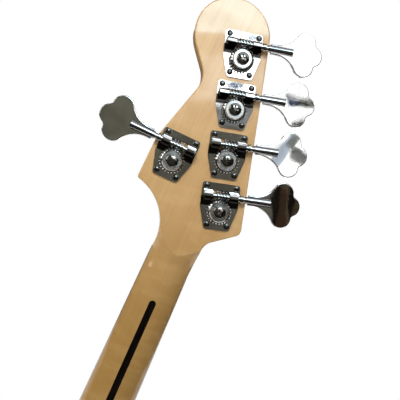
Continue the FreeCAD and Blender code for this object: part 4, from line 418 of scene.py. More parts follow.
def body_finish(wood):
    """Gloss lacquer that is shaded from a clear middle to a dark edge, over a coarse grain."""
    finish = Finish("body_lacquer")
    flat = finish.place(FLAT)
    nearness = None
    for (start_x, start_z), (end_x, end_z), reach in BURST_LINES:
        away = finish.line_distance(flat, (start_x, 0, start_z), (end_x, 0, end_z))
        clear = finish.fit(away, reach, reach - BURST_FADE)
        nearness = clear if nearness is None else finish.math("SMOOTH_MAX", nearness, clear, BURST_BLEND)
    rings = finish.noise(70, 5, 0.6, 0.8, (1, 0.35, 0.05))
    pores = finish.noise(900, 3, stretch=(1, 1, 0.03))
    middle = finish.mix(finish.fit(rings, 0.40, 0.66, 0.0, 0.5), wood.burst_middle, wood.burst_ring)
    middle = finish.mix(finish.fit(pores, 0.58, 0.72, 0.0, 0.45), middle, wood.burst_ring)
    tone = finish.mix(finish.fit(nearness, 0.30, 0.62), wood.burst_ring, middle)
    tone = finish.mix(finish.fit(nearness, 0.08, 0.36), wood.burst_edge, tone)
    finish.set(Base_Color=tone, Roughness=finish.fit(rings, 0.3, 0.7, 0.32, 0.4), **LACQUER)
    finish.bump(pores, 0.05, 0.0002)
    return finish.material


# Painted shade in a band beside each worm, where the worm and its barrel shade the plate and mirror
# darkly in it: its middle's distance from the worm's axis, its half length along the worm, and how far
# from its middle line it is still full and where it ends
WORM_SHADE_SHIFT, WORM_SHADE_HALF, WORM_SHADE_FULL, WORM_SHADE_END = 5.6 * MM, 22 * MM, 4.0 * MM, 5.4 * MM


def painted_worm_shade(finish, tone, worm_shade):
    """Paint shade in a band between each worm and its gear."""
    flat = finish.place(FLAT)
    for tuner in TUNERS:
        worm, along = key_line(tuner)
        aside = post_place(tuner) - worm
        aside -= along * aside.dot(along)
        middle = worm + Vector((aside.x, 0, aside.z)).normalized() * WORM_SHADE_SHIFT
        middle.y = 0
        away = finish.line_distance(flat, middle - along * WORM_SHADE_HALF, middle + along * WORM_SHADE_HALF)
        tone = finish.mix(finish.fit(away, WORM_SHADE_END, WORM_SHADE_FULL), tone, worm_shade)
    return tone


# Barrel of each key: where it starts and ends along the shaft, from the worm's middle, its surface's
# distance from the shaft's axis, and the tint's margin beyond it, which is also the length of its fade
BARREL_START, BARREL_END, BARREL_RADIUS, BARREL_EDGE = 25.2 * MM, 50.6 * MM, 4.2 * MM, 0.3 * MM


def darker_barrels(finish, tone, tint):
    """Darken the barrel of each key, and leave its paddle as it is."""
    spot = finish.place()
    for tuner in TUNERS:
        worm, along = key_line(tuner)
        away = finish.line_distance(spot, worm + along * BARREL_START, worm + along * BARREL_END)
        passed = finish.vector_math("DOT_PRODUCT", finish.vector_math("SUBTRACT", spot, worm), along)
        near = finish.fit(away, BARREL_RADIUS + 2 * BARREL_EDGE, BARREL_RADIUS + BARREL_EDGE)
        before = finish.fit(passed, BARREL_END + 2 * BARREL_EDGE, BARREL_END + BARREL_EDGE)
        tone = finish.mix(finish.math("MULTIPLY", near, before), tone, tint)
    return tone


def metal_finish(name, tint, low, high, waves=0.0, shade=None, dark=None):
    """Polished metal with fine scratches and, where wanted, an uneven polish and places that a function
    darkens, as with painted shade.
    """
    finish = Finish(name)
    cloud = finish.noise(120, 4)
    scratches = finish.noise(2600, 2, stretch=(0.08, 1, 1))
    dull = [0.82 * part for part in tint]
    tone = finish.mix(finish.fit(cloud, 0.45, 0.75, 0.0, 0.6), tint, dull)
    if shade is not None:
        tone = shade(finish, tone, dark)
    finish.set(Base_Color=tone, Metallic=1.0, Roughness=finish.fit(cloud, 0.35, 0.75, low, high))
    finish.bump(scratches, 0.03, 0.0001)
    if waves:
        finish.bump(finish.noise(34, 1), 1.0, waves)
    return finish.material


def string_finish(metal, strings):
    """Round wire wound on a core: ridges along the string's own length."""
    finish = Finish("wound_wire")
    ridge = finish.math("MULTIPLY_ADD", finish.attribute("along"), 2 * math.pi / strings.wrap_pitch,
                        finish.math("MULTIPLY", finish.attribute("around"), 2 * math.pi))
    wave = finish.math("SINE", ridge)
    # Painted shade: the wire is darker in the grooves between its wraps, where shade falls
    dull = [0.55 * part for part in metal.string]
    finish.set(Base_Color=finish.mix(finish.fit(wave, -1.0, 0.2), dull, metal.string), Metallic=1.0,
               Roughness=finish.fit(finish.noise(90), 0.3, 0.7, 0.24, 0.36))
    finish.bump(wave, 0.5, 0.0001)
    return finish.material


def plastic_finish(name, tint, low, high):
    """Moulded plastic with a fine orange-peel surface and faint dust marks."""
    finish = Finish(name)
    peel = finish.noise(1800, 2)
    marks = finish.noise(60, 4)
    paler = [min(1.0, 1.5 * part + 0.004) for part in tint]
    finish.set(Base_Color=finish.mix(finish.fit(marks, 0.5, 0.75), tint, paler),
               Roughness=finish.fit(marks, 0.35, 0.7, low, high))
    finish.bump(peel, 0.12, 0.0001)
    return finish.material


def bone_finish(bone):
    finish = Finish("bone")
    cloud = finish.noise(240, 3, stretch=(0.3, 1, 1))
    yellow = (bone[0] * 0.86, bone[1] * 0.80, bone[2] * 0.68)
    finish.set(Base_Color=finish.mix(finish.fit(cloud, 0.4, 0.7), bone, yellow),
               Roughness=finish.fit(cloud, 0.3, 0.7, 0.28, 0.42), Subsurface_Weight=0.15,
               Subsurface_Scale=0.002)
    return finish.material


def pearl_finish(pearl):
    """Pearl-like dots with soft cloudy bands of faint colour."""
    finish = Finish("pearl")
    cloud = finish.noise(420, 2, 0.5, 1.6)
    rosy = (pearl[0], pearl[1] * 0.90, pearl[2] * 0.92)
    greenish = (pearl[0] * 0.88, pearl[1], pearl[2] * 0.97)
    finish.set(Base_Color=finish.mix(finish.fit(cloud, 0.35, 0.65), rosy, greenish),
               Roughness=finish.fit(cloud, 0.3, 0.7, 0.16, 0.3), Coat_Weight=0.6, Coat_Roughness=0.08)
    return finish.material


def dress(material, *names):
    """Give CAD nodes their finish."""
    for name in names:
        slots = NODES[name].material_slots
        if not slots:
            NODES[name].data.materials.append(material)
        for slot in slots:
            slot.material = material


def finish_called(name):
    """A finish that an operator before this one has made."""
    return bpy.data.materials[name]


# Meshes

# Corners nearer than this are one
MERGE_CAD, MERGE_OWN = 1e-6, 1e-7


def new_object(name, data):
    made = bpy.data.objects.new(name, data)
    bpy.context.scene.collection.objects.link(made)
    return made


def opened(*meshes):
    """One bmesh of some meshes."""
    form = bmesh.new()
    for mesh in meshes:
        form.from_mesh(mesh)
    return form


def opened_node(node):
    """Bmesh of a CAD node with its corners merged."""
    form = opened(NODES[node].data)
    bmesh.ops.remove_doubles(form, verts=form.verts, dist=MERGE_CAD)
    return form


def closed(form, mesh):
    """The mesh, with a bmesh written to it that is then given up."""
    form.to_mesh(mesh)
    form.free()
    return mesh


def turned_mesh(name, profile, sides):
    """Mesh turned round the z axis from (radius, height) points."""
    form = bmesh.new()
    rings = []
    for radius, height in profile:
        if radius == 0:
            rings.append([form.verts.new((0, 0, height))])
            continue
        ring = []
        for step in range(sides):
            turn = 2 * math.pi * step / sides
            ring.append(form.verts.new((radius * math.cos(turn), radius * math.sin(turn), height)))
        rings.append(ring)
    for low, high in zip(rings, rings[1:]):
        for step in range(sides):
            after = step + 1
            corners = [ring[number % len(ring)]
                       for ring, number in ((low, step), (low, after), (high, after), (high, step))]
            face = list(dict.fromkeys(corners))
            if len(face) > 2:
                form.faces.new(face)
    bmesh.ops.remove_doubles(form, verts=form.verts, dist=MERGE_OWN)
    bmesh.ops.recalc_face_normals(form, faces=form.faces)
    return closed(form, bpy.data.meshes.new(name))


def millimetres(*points):
    """Profile points given in millimetres, for turned_mesh."""
    return [(radius * MM, height * MM) for radius, height in points]


def smooth(mesh, degrees):
    """Smooth shading with edges sharper than the degrees kept sharp."""
    for polygon in mesh.polygons:
        polygon.use_smooth = True
    mesh.set_sharp_from_angle(angle=math.radians(degrees))


def shaped(made):
    """Plain mesh of an object with its modifiers worked in."""
    depsgraph = bpy.context.evaluated_depsgraph_get()
    mesh = bpy.data.meshes.new_from_object(made.evaluated_get(depsgraph), depsgraph=depsgraph)
    made.modifiers.clear()
    return mesh


def drop(*objects):
    for made in objects:
        bpy.data.objects.remove(made)


def seat_piece(name, mesh, body, slot, *nodes):
    """A finished piece that rides a body and stands for CAD nodes."""
    piece = new_object(name, mesh)
    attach(piece, body)
    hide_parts(*nodes)


def islands(node):
    """Lowest and highest corners of each separate solid in a CAD node."""
    form = opened_node(node)
    unseen = set(form.verts)
    boxes = []
    while unseen:
        group = [unseen.pop()]
        for vertex in group:
            for edge in vertex.link_edges:
                other = edge.other_vert(vertex)
                if other in unseen:
                    unseen.remove(other)
                    group.append(other)
        low = Vector([min(vertex.co[axis] for vertex in group) for axis in range(3)])
        high = Vector([max(vertex.co[axis] for vertex in group) for axis in range(3)])
        boxes.append((low, high))
    form.free()
    return sorted(boxes, key=lambda box: tuple(box[0]))


# Geometry node trees


class Tree(NodeMaker):
    """Geometry node tree that ends in Realize Instances and Set Material."""

    def __init__(self, name, **inputs):
        self.tree = bpy.data.node_groups.new(name, "GeometryNodeTree")
        super().__init__(self.tree)
        sockets = self.tree.interface
        for key, kind in {"Geometry": "NodeSocketGeometry", **inputs}.items():
            sockets.new_socket(key, in_out="INPUT", socket_type=kind)
        sockets.new_socket("Geometry", in_out="OUTPUT", socket_type="NodeSocketGeometry")
        self.start = self.add("NodeGroupInput")

    def end(self, geometry, material):
        real = self.add("GeometryNodeRealizeInstances", {"Geometry": geometry})
        coated = self.add("GeometryNodeSetMaterial", {"Geometry": real[0], "Material": material})
        self.node("NodeGroupOutput", {0: coated[0]})

    def run(self, source, **values):
        """The plain mesh that the tree makes from an object's geometry."""
        modifier = source.modifiers.new("form", "NODES")
        modifier.node_group = self.tree
        for item in self.tree.interface.items_tree:
            if item.in_out == "INPUT" and item.name in values:
                modifier[item.identifier] = values[item.name]
        return shaped(source)


def copies_tree(name, template, material):
    """Copies of a template on points, turned by the points' own angles."""
    tree = Tree(name)
    shape = tree.add("GeometryNodeObjectInfo", {"Object": template})
    turn = tree.add("GeometryNodeInputNamedAttribute", {"Name": "turn"}, data_type="FLOAT_VECTOR")
    copies = tree.add("GeometryNodeInstanceOnPoints",
                      {"Points": tree.start["Geometry"], "Instance": shape["Geometry"],
                       "Rotation": turn["Attribute"]})
    tree.end(copies[0], material)
    return tree


def string_tree(material):
    """Round wire along a curve, with its length and its turn stored for the finish."""
    tree = Tree("wire_on_path", Radius="NodeSocketFloat", Sides="NodeSocketInt")
    ring = tree.add("GeometryNodeCurvePrimitiveCircle",
                    {"Resolution": tree.start["Sides"], "Radius": tree.start["Radius"]})
    curves = []
    measures = ((tree.start["Geometry"], "along", "Length"), (ring[0], "around", "Factor"))
    for curve, name, measure in measures:
        value = tree.add("GeometryNodeSplineParameter")[measure]
        feeds = {"Geometry": curve, "Name": name, "Value": value}
        stored = tree.add("GeometryNodeStoreNamedAttribute", feeds, data_type="FLOAT", domain="POINT")
        curves.append(stored[0])
    path, section = curves
    wire = tree.add("GeometryNodeCurveToMesh", {"Curve": path, "Profile Curve": section, "Fill Caps": True})
    tree.end(wire[0], material)
    return tree


def knob_tree(rib, material):
    """A turned knob with ribs round its side."""
    tree = Tree("ribbed_knob", Ribs="NodeSocketInt", Reach="NodeSocketFloat", Lean="NodeSocketFloat")
    circle = tree.add("GeometryNodeMeshCircle",
                      {"Vertices": tree.start["Ribs"], "Radius": tree.start["Reach"]})
    shape = tree.add("GeometryNodeObjectInfo", {"Object": rib})
    place = tree.add("GeometryNodeInputPosition")
    split = tree.add("ShaderNodeSeparateXYZ", {0: place[0]})
    bearing = tree.math("ARCTAN2", split["Y"], split["X"])
    turn = tree.add("ShaderNodeCombineXYZ", {"Y": tree.start["Lean"], "Z": bearing})
    ribs = tree.add("GeometryNodeInstanceOnPoints",
                    {"Points": circle["Mesh"], "Instance": shape["Geometry"], "Rotation": turn[0]})
    both = tree.node("GeometryNodeJoinGeometry", {"Geometry": tree.start["Geometry"]})
    tree.feed(both.inputs["Geometry"], ribs[0])
    tree.end(both.outputs[0], material)
    return tree


# Screws

# Corners of a recess arm's two ends, along and across it, and the faces between them
ARM_CORNERS = ((-1, -1), (1, -1), (1, 1), (-1, 1))
ARM_FACES = ((0, 1, 2, 3), (7, 6, 5, 4), (0, 4, 5, 1), (1, 5, 6, 2), (2, 6, 7, 3), (3, 7, 4, 0))
DOME_STEPS = 7
TURN_SEED = 7
# Screws along the strings point down below this height, and up above it
POINTS_DOWN_BELOW = 0.1


def recess_cutter(reach, width, top, depth):
    """Four-armed recess that narrows downwards."""
    form = bmesh.new()
    ends = ((top, reach * 1.06, width * 1.1), (top - depth, reach * 0.45, width * 0.7))
    for across in (Vector((1, 0, 0)), Vector((0, 1, 0))):
        aside = Vector((-across.y, across.x, 0))
        corners = []
        for level, long, wide in ends:
            for first, second in ARM_CORNERS:
                spot = across * (first * long) + aside * (second * wide / 2)
                corners.append(form.verts.new((spot.x, spot.y, level)))
        for face in ARM_FACES:
            form.faces.new([corners[index] for index in face])
    bmesh.ops.recalc_face_normals(form, faces=form.faces)
    return new_object("screw_recess", closed(form, bpy.data.meshes.new("screw_recess")))


def screw_template(fittings, head, rise, stem, shank):
    """Cross-head screw along z, underside of the head at zero."""
    shoulder = 0.22 * rise
    profile = [(0, -shank), (stem, -shank + 1.5 * stem), (stem, 0), (head * 0.97, 0), (head, 0.06 * rise),
               (head, shoulder)]
    for step in range(1, DOME_STEPS):
        turn = math.pi / 2 * step / DOME_STEPS
        profile.append((head * math.cos(turn), shoulder + (rise - shoulder) * math.sin(turn)))
    profile.append((0, rise))
    blank = new_object("screw_blank", turned_mesh("screw_blank", profile, fittings.screw_sides))
    cutter = recess_cutter(fittings.recess_reach * head, fittings.recess_width * head, rise * 1.02,
                           fittings.recess_depth * rise)
    modifier = blank.modifiers.new("recess", "BOOLEAN")
    modifier.operation = "DIFFERENCE"
    modifier.solver = "EXACT"
    modifier.use_self = True
    modifier.object = cutter
    mesh = shaped(blank)
    drop(blank, cutter)
    smooth(mesh, 30)
    return new_object("screw_template", mesh)


def seats_of(node, rise):
    """Underside of each screw head in a CAD node and the way it faces, from the screws' boxes."""
    seats = []
    for low, high in islands(node):
        seat = (low + high) / 2
        size = high - low
        # Heads are round, so the screw lies along y where its sizes along x and z are alike, else along z
        axis = 1 if abs(size.x - size.z) < abs(size.x - size.y) else 2
        if axis == 1:
            at_low = seat.y < 0 and not node.startswith("tuner")
        else:
            at_low = seat.z < POINTS_DOWN_BELOW
        seat[axis] = low[axis] + rise if at_low else high[axis] - rise
        way = Vector((0, 0, 0))
        way[axis] = -1 if at_low else 1
        seats.append((seat, way))
    return seats


def make_screws(fittings, sizes, material, *pieces):
    """Screws in place of CAD nodes, each at its own turn.

    The sizes are the head's radius and height, the stem's radius and the length below the head, in
    millimetres. Each piece has a name, the body that it rides and the CAD node that it stands for.
    """
    head, rise, stem, shank = [size * MM for size in sizes]
    template = screw_template(fittings, head, rise, stem, shank)
    for name, body, node in pieces:
        chance = random.Random(TURN_SEED)
        seats = seats_of(node, rise)
        points = bpy.data.meshes.new(name + "_points")
        points.from_pydata([seat for seat, way in seats], [], [])
        turns = points.attributes.new("turn", "FLOAT_VECTOR", "POINT")
        for index, (seat, way) in enumerate(seats):
            spin = Matrix.Rotation(chance.uniform(0, math.pi / 2), 4, "Z")
            turns.data[index].vector = (facing(seat, way) @ spin).to_euler()
        source = new_object(name + "_points", points)
        mesh = copies_tree(name, template, finish_called(material)).run(source)
        drop(source)
        seat_piece(name, mesh, body, "screw_metal", node)
    drop(template)


# Strings

# Turns of each string on its post and the tuner that it runs to, thick string first
STRING_RUNS = ((2.25, 4), (2.75, 3), (2.75, 2), (3.25, 1), (3.75, 5))
LONE_TUNER = 5
MIDDLE_STRING = 2
POINTS_PER_TURN = 40
BEND_STEPS = 8
BEND_RADIUS = 10 * MM
# Where the strings lie on the bridge, the nut and the posts, and the ball ends behind the bridge
BALL_RADIUS = 3 * MM
BALL_GAP = 0.3 * MM
BALL_SIDES = 20
BRIDGE_HOLE_DEPTH = 3.5 * MM
SADDLE_GAP = 0.1 * MM
SADDLE_BACK = 8 * MM
NUT_DEPTH = 1.5 * MM
POST_REACH = 5.15 * MM
TURN_GAP = 0.45 * MM
BUSHING_GAP = 0.6 * MM
LEAD = 5 * MM


def rounded_path(corners, radius):
    """Points along straight runs with a round bend at each inner corner."""
    path = [corners[0]]
    for before, corner, after in zip(corners, corners[1:], corners[2:]):
        back = (before - corner).normalized()
        ahead = (after - corner).normalized()
        half = back.angle(ahead) / 2
        cut = radius / math.tan(half)
        centre = corner + (back + ahead).normalized() * (radius / math.sin(half))
        start = corner + back * cut - centre
        end = corner + ahead * cut - centre
        for step in range(BEND_STEPS + 1):
            path.append(centre + start.slerp(end, step / BEND_STEPS) * radius)
    path.append(corners[-1])
    return path


def string_path(index, gauge, strings):
    """Points of a string from its ball end, over saddle and nut, to its turns on the post."""
    turns, tuner = STRING_RUNS[index]
    radius = gauge / 2
    saddle = f"saddle_{index + 1}"
    saddle_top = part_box(saddle)[0].y
    middle = middle_of(saddle)
    nut_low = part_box("nut")[0]
    bridge_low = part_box("bridge_plate")[0]
    wall = Vector((middle.x, bridge_low.y + BRIDGE_HOLE_DEPTH, bridge_low.z))
    over = Vector((middle.x, saddle_top - SADDLE_GAP - radius, middle.z - SADDLE_BACK))
    across = (index - MIDDLE_STRING) * strings.nut_spacing
    nut = Vector((across, nut_low.y + NUT_DEPTH - radius, nut_low.z))
    post = post_place(tuner)
    sense = -1 if tuner == LONE_TUNER else 1
    wound = POST_REACH + radius
    pitch = gauge + TURN_GAP
    span = math.hypot(post.x - nut.x, post.z - nut.z)
    bearing = math.atan2(post.z - nut.z, post.x - nut.x) - sense * math.asin(wound / span)
    reach = math.sqrt(span ** 2 - wound ** 2)
    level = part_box("tuner_bushings")[0].y - BUSHING_GAP - radius
    meet = Vector((nut.x + reach * math.cos(bearing), level, nut.z + reach * math.sin(bearing)))
    climb = pitch / (2 * math.pi * wound)
    lead = Vector((math.cos(bearing), -climb, math.sin(bearing))).normalized() * LEAD
    back = (wall - over).normalized()
    tail = wall + back * (BALL_GAP + BALL_RADIUS * abs(back.y))
    path = rounded_path([tail, over, nut, meet - lead, meet], BEND_RADIUS)[:-1]
    first = math.atan2(meet.z - post.z, meet.x - post.x)
    for step in range(int(turns * POINTS_PER_TURN) + 1):
        turn = step / POINTS_PER_TURN
        angle = first + sense * turn * 2 * math.pi
        path.append(Vector((post.x + wound * math.cos(angle), meet.y - pitch * turn,
                            post.z + wound * math.sin(angle))))
    return path


def path_object(name, path):
    curve = bpy.data.curves.new(name, "CURVE")
    curve.dimensions = "3D"
    spline = curve.splines.new("POLY")
    spline.points.add(len(path) - 1)
    for point, place in zip(spline.points, path):
        point.co = (*place, 1)
    return new_object(name, curve)


def ball_end(place, way):
    """Small barrel at the end of a string, beyond the place and along the way."""
    profile = millimetres((0, 0), (2.6, 0), (3, 0.5), (2.3, 1.6), (2.3, 3.4), (3, 4.5), (2.6, 5), (0, 5))
    mesh = turned_mesh("ball_end", profile, BALL_SIDES)
    mesh.transform(facing(place, way))
    return mesh


# Knobs, in millimetres: radii at foot and top, heights of foot and crown above the plate, and the ends of
# the ribs between them
KNOB_FOOT, KNOB_TOP, KNOB_BASE, KNOB_CROWN = 9.1, 8.0, 3.2, 19.2
RIB_LOW, RIB_HIGH = KNOB_BASE + 2, KNOB_CROWN - 1.6
RIB_SIDES = 6
# Pointer on a knob: its size, how far out its middle lies and how far below the crown
POINTER_SIZE = (1.1 * MM, 4.6 * MM, 0.9 * MM)
POINTER_OUT, POINTER_SUNK = 4.4 * MM, 0.47 * MM


def knob_blank(sides):
    """Turned knob with the shaft that it is clamped to."""
    foot, top, base, crown = KNOB_FOOT, KNOB_TOP, KNOB_BASE, KNOB_CROWN
    profile = millimetres((0, base - 7), (3, base - 7), (3, base), (foot - 0.4, base),
                          (foot + 0.4, base + 0.3), (foot + 0.4, base + 1.5), (foot, base + 1.9),
                          (top, crown - 1.4), (top - 0.3, crown - 0.5), (top - 1.2, crown),
                          (top - 2, crown - 0.15), (0, crown - 0.5))
    return new_object("knob_blank", turned_mesh("knob_blank", profile, sides))


def knob_rib(radius, tall, middle):
    """One rib along z, rounded at both ends."""
    half = tall / 2
    profile = [(0, -half), (radius * 0.7, -half), (radius, -half + radius * 0.5),
               (radius, half - radius * 0.5), (radius * 0.7, half), (0, half)]
    mesh = turned_mesh("knob_rib", profile, RIB_SIDES)
    mesh.transform(Matrix.Translation((0, 0, middle)))
    return new_object("knob_rib", mesh)


def add_pointer(mesh, material):
    """Set a pale line into a knob's crown."""
    mesh.materials.append(material)
    form = opened(mesh)
    before = len(form.faces)
    line = bmesh.ops.create_cube(form, size=1.0)["verts"]
    bmesh.ops.scale(form, vec=POINTER_SIZE, verts=line)
    bmesh.ops.translate(form, vec=(0, POINTER_OUT, KNOB_CROWN * MM - POINTER_SUNK), verts=line)
    form.faces.ensure_lookup_table()
    for face in form.faces[before:]:
        face.material_index = len(mesh.materials) - 1
    closed(form, mesh)


# Pieces, one operator for each group


class BASS_OT_neck(bpy.types.Operator):
    """Finish the neck, its stripe, the fretboard, frets, markers and nut"""
    bl_idname = "bass.finish_neck"
    bl_label = "Finish the neck"

    def execute(self, context):
        looks = context.scene.bass_looks
        dress(maple_finish(looks.wood), "neck")
        dress(stripe_finish(looks.wood), "skunk_stripe")
        dress(board_finish(looks.wood), "fretboard")
        dress(bone_finish(looks.plastic.bone), "nut")
        dress(pearl_finish(looks.plastic.pearl), "fret_markers")
        dress(metal_finish("fret_wire", looks.metal.fret, 0.16, 0.30), "frets")
        return {"FINISHED"}


class BASS_OT_body(bpy.types.Operator):
    """Finish the body and its pickups"""
    bl_idname = "bass.finish_body"
    bl_label = "Finish the body"

    def execute(self, context):
        looks = context.scene.bass_looks
        dress(body_finish(looks.wood), "body")
        cover = plastic_finish("pickup_cover", looks.plastic.cover, 0.34, 0.50)
        dress(cover, "bridge_pickup", "neck_pickup")
        return {"FINISHED"}


class BASS_OT_metal(bpy.types.Operator):
    """Finish the tuners, the bridge and the other metal pieces"""
    bl_idname = "bass.finish_metal"
    bl_label = "Finish the metal"

    def execute(self, context):
        metal = context.scene.bass_looks.metal
        chrome = metal_finish("chrome", metal.chrome, 0.035, 0.10)
        dress(chrome, "tuner_bushings", "string_retainer", "neck_plate", "bridge_plate",
              "control_plate", "output_jack", "strap_buttons", *numbered("tuner_post", TUNERS))
        # The plates' chrome carries painted shade beside the worms
        plate = metal_finish("plate_chrome", metal.chrome, 0.035, 0.10, shade=painted_worm_shade, dark=metal.worm_shade)
        dress(plate, "tuner_plates")
        key = metal_finish("key_chrome", metal.chrome, 0.02, 0.06, 0.00015, darker_barrels, metal.barrel)
        dress(key, *numbered("tuner_key", TUNERS))
        dress(metal_finish("gear_chrome", metal.gear, 0.10, 0.20), *numbered("saddle", SADDLES))
        dress(metal_finish("worm_chrome", metal.worm, 0.10, 0.20), *numbered("tuner_worm", TUNERS))
        metal_finish("gear_ring", metal.ring, 0.22, 0.34)
        steel = metal_finish("plain_steel", metal.steel, 0.28, 0.45)
        dress(steel, "truss_rod", "truss_rod_nut", "potentiometers", "pole_pieces")
        metal_finish("tuner_screw", metal.tuner_screw, 0.07, 0.14)
        dress(metal_finish("screw_chrome", metal.screw, 0.07, 0.14), "intonation_screws")
        return {"FINISHED"}


class BASS_OT_gears(bpy.types.Operator):
    """Bevel the gears' teeth and finish their rings"""
    bl_idname = "bass.make_gears"
    bl_label = "Make the gears"

    def execute(self, context):
        ring, ring_height, level = 9.6 * MM, 1.0 * MM, 0.1 * MM
        slope = context.scene.bass_looks.fittings.tooth_slope
        for tuner in TUNERS:
            node = f"tuner_gear_{tuner}"
            axis = post_place(tuner)
            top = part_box(node)[1].y - ring_height
            form = opened_node(node)
            for vertex in form.verts:
                reach = math.hypot(vertex.co.x - axis.x, vertex.co.z - axis.z)
                if reach > ring and vertex.co.y > top - level:
                    vertex.co.y -= slope * (reach - ring)
            for face in form.faces:
                on_ring = face.calc_center_median().y > top + ring_height / 4
                face.material_index = 1 if on_ring else 0
            mesh = closed(form, bpy.data.meshes.new(f"bevelled_gear_{tuner}"))
            mesh.materials.append(finish_called("gear_chrome"))
            mesh.materials.append(finish_called("gear_ring"))
            smooth(mesh, 25)
            seat_piece(f"bevelled_gear_{tuner}", mesh, f"post_{tuner}", "gear_metal", node)
        return {"FINISHED"}


class BASS_OT_strings(bpy.types.Operator):
    """Wind the five strings from bridge to posts"""
    bl_idname = "bass.make_strings"
    bl_label = "Make the strings"

    def execute(self, context):
        looks = context.scene.bass_looks
        strings = looks.strings
        tree = string_tree(string_finish(looks.metal, strings))
        gauges = (strings.thickest, strings.second, strings.third, strings.fourth, strings.thinnest)
        for index, gauge in enumerate(gauges):
            name = f"string_{index + 1}"
            path = string_path(index, gauge, strings)
            source = path_object(name + "_path", path)
            mesh = tree.run(source, Radius=gauge / 2, Sides=strings.sides)
            drop(source)
            closed(opened(mesh, ball_end(path[0], (path[0] - path[1]).normalized())), mesh)
            smooth(mesh, 50)
            seat_piece(name, mesh, "instrument", "string_metal", "strings")
        return {"FINISHED"}


class BASS_OT_tuner_screws(bpy.types.Operator):
    """Set cross-head screws in the tuner plates and the gears"""
    bl_idname = "bass.make_tuner_screws"
    bl_label = "Make the tuner screws"

    def execute(self, context):
        fittings = context.scene.bass_looks.fittings
        make_screws(fittings, (3.1, 1.5, 1.4, 10), "tuner_screw",
                    ("plate_screws", "instrument", "tuner_screws"))
        gear_screws = [(f"gear_screw_{tuner}", f"post_{tuner}", f"tuner_gear_screw_{tuner}")
                       for tuner in TUNERS]
        make_screws(fittings, (6.5, 2.8, 1.8, 9), "screw_chrome", *gear_screws)
        return {"FINISHED"}


class BASS_OT_body_screws(bpy.types.Operator):
    """Set cross-head screws in the body and the neck plate"""
    bl_idname = "bass.make_body_screws"
    bl_label = "Make the body screws"

    def execute(self, context):
        fittings = context.scene.bass_looks.fittings
        make_screws(fittings, (3.5, 2, 1.6, 20), "screw_chrome",
                    ("front_screws", "instrument", "body_screws"))
        make_screws(fittings, (4.9, 2.6, 2.5, 43), "screw_chrome",
                    ("heel_screws", "instrument", "neck_screws"))
        return {"FINISHED"}


class BASS_OT_knobs(bpy.types.Operator):
    """Turn the three knobs with their ribs and pointers"""
    bl_idname = "bass.make_knobs"
    bl_label = "Make the knobs"

    def execute(self, context):
        looks = context.scene.bass_looks
        fittings = looks.fittings
        black = plastic_finish("knob_plastic", looks.plastic.knob, 0.22, 0.36)
        white = plastic_finish("knob_pointer", looks.plastic.pointer, 0.3, 0.45)
        lean = math.atan2(KNOB_FOOT - KNOB_TOP, RIB_HIGH - RIB_LOW)
        middle = (RIB_LOW + RIB_HIGH) / 2 * MM
        tall = (RIB_HIGH - RIB_LOW) * MM
        rib = knob_rib(fittings.knob_rib_radius, tall / math.cos(lean), middle / math.cos(lean))
        reach = (KNOB_FOOT + KNOB_TOP) / 2 * MM + middle * math.tan(lean)
        tree = knob_tree(rib, black)
        for knob in KNOBS:
            blank = knob_blank(fittings.knob_sides)
            mesh = tree.run(blank, Ribs=fittings.knob_ribs, Reach=reach, Lean=-lean)
            drop(blank)
            add_pointer(mesh, white)
            joint = JOINTS[f"knob_{knob}_turn"]
            mesh.transform(facing(joint["pos_m"], Vector(joint["axis"])))
            smooth(mesh, 32)
            seat_piece(f"ribbed_knob_{knob}", mesh, f"knob_{knob}", "knob_plastic", f"knob_{knob}")
        drop(rib)
        return {"FINISHED"}


# Stage


def add_camera(stage):
    """Camera that is rolled to the picture's slant and moved sideways round the point it looks at."""
    across = Vector((-math.cos(stage.roll), 0, math.sin(stage.roll)))
    up = Vector((math.sin(stage.roll), 0, math.cos(stage.roll)))
    out = Vector((0, 1, 0))
    back = out * math.cos(stage.yaw) - across * math.sin(stage.yaw)
    right = across * math.cos(stage.yaw) + out * math.sin(stage.yaw)
    data = bpy.data.cameras.new("camera")
    data.lens = stage.lens
    data.sensor_width = 36
    data.clip_start = 0.01
    data.clip_end = 100
    camera = new_object("camera", data)
    turn = Matrix((right, up, back)).transposed().to_4x4()
    camera.matrix_world = Matrix.Translation(Vector(stage.aim) + back * stage.distance) @ turn
    bpy.context.scene.camera = camera


def add_lamp(name, power, place, aim, wide, high, tint, mirrored):
    """Soft rectangular lamp that faces a point."""
    data = bpy.data.lights.new(name, "AREA")
    data.shape = "RECTANGLE"
    data.size = wide
    data.size_y = high
    data.energy = power
    data.color = tint
    lamp = new_object(name, data)
    lamp.location = place
    lamp.rotation_euler = (Vector(place) - Vector(aim)).to_track_quat("Z", "Y").to_euler()
    lamp.visible_camera = False
    lamp.visible_glossy = mirrored


def flat_object(name, corners, material):
    """Single face between corners."""
    mesh = bpy.data.meshes.new(name)
    mesh.from_pydata(corners, [], [tuple(range(len(corners)))])
    mesh.materials.append(material)
    made = new_object(name, mesh)
    return made


def floor_finish(stage):
    """Pale floor that keeps its shadow near the object and runs out into the white backdrop."""
    shadow_end, white_start = 0.7, 1.5
    finish = Finish("pale_floor")
    far = finish.fit(finish.vector_math("LENGTH", finish.place()), shadow_end, white_start)
    paler = [min(1.0, 1.03 * part) for part in stage.floor]
    finish.set(Base_Color=finish.mix(finish.noise(9, 3), stage.floor, paler), Roughness=0.9,
               Specular_IOR_Level=0.1)
    white = finish.add("ShaderNodeEmission", {"Color": (1, 1, 1, 1)})
    blend = finish.add("ShaderNodeMixShader", {0: finish.math("MULTIPLY", far, finish.seen_directly()),
                                               1: finish.shader.outputs[0], 2: white[0]})
    finish.feed(finish.nodes["Material Output"].inputs["Surface"], blend[0])
    return finish.material


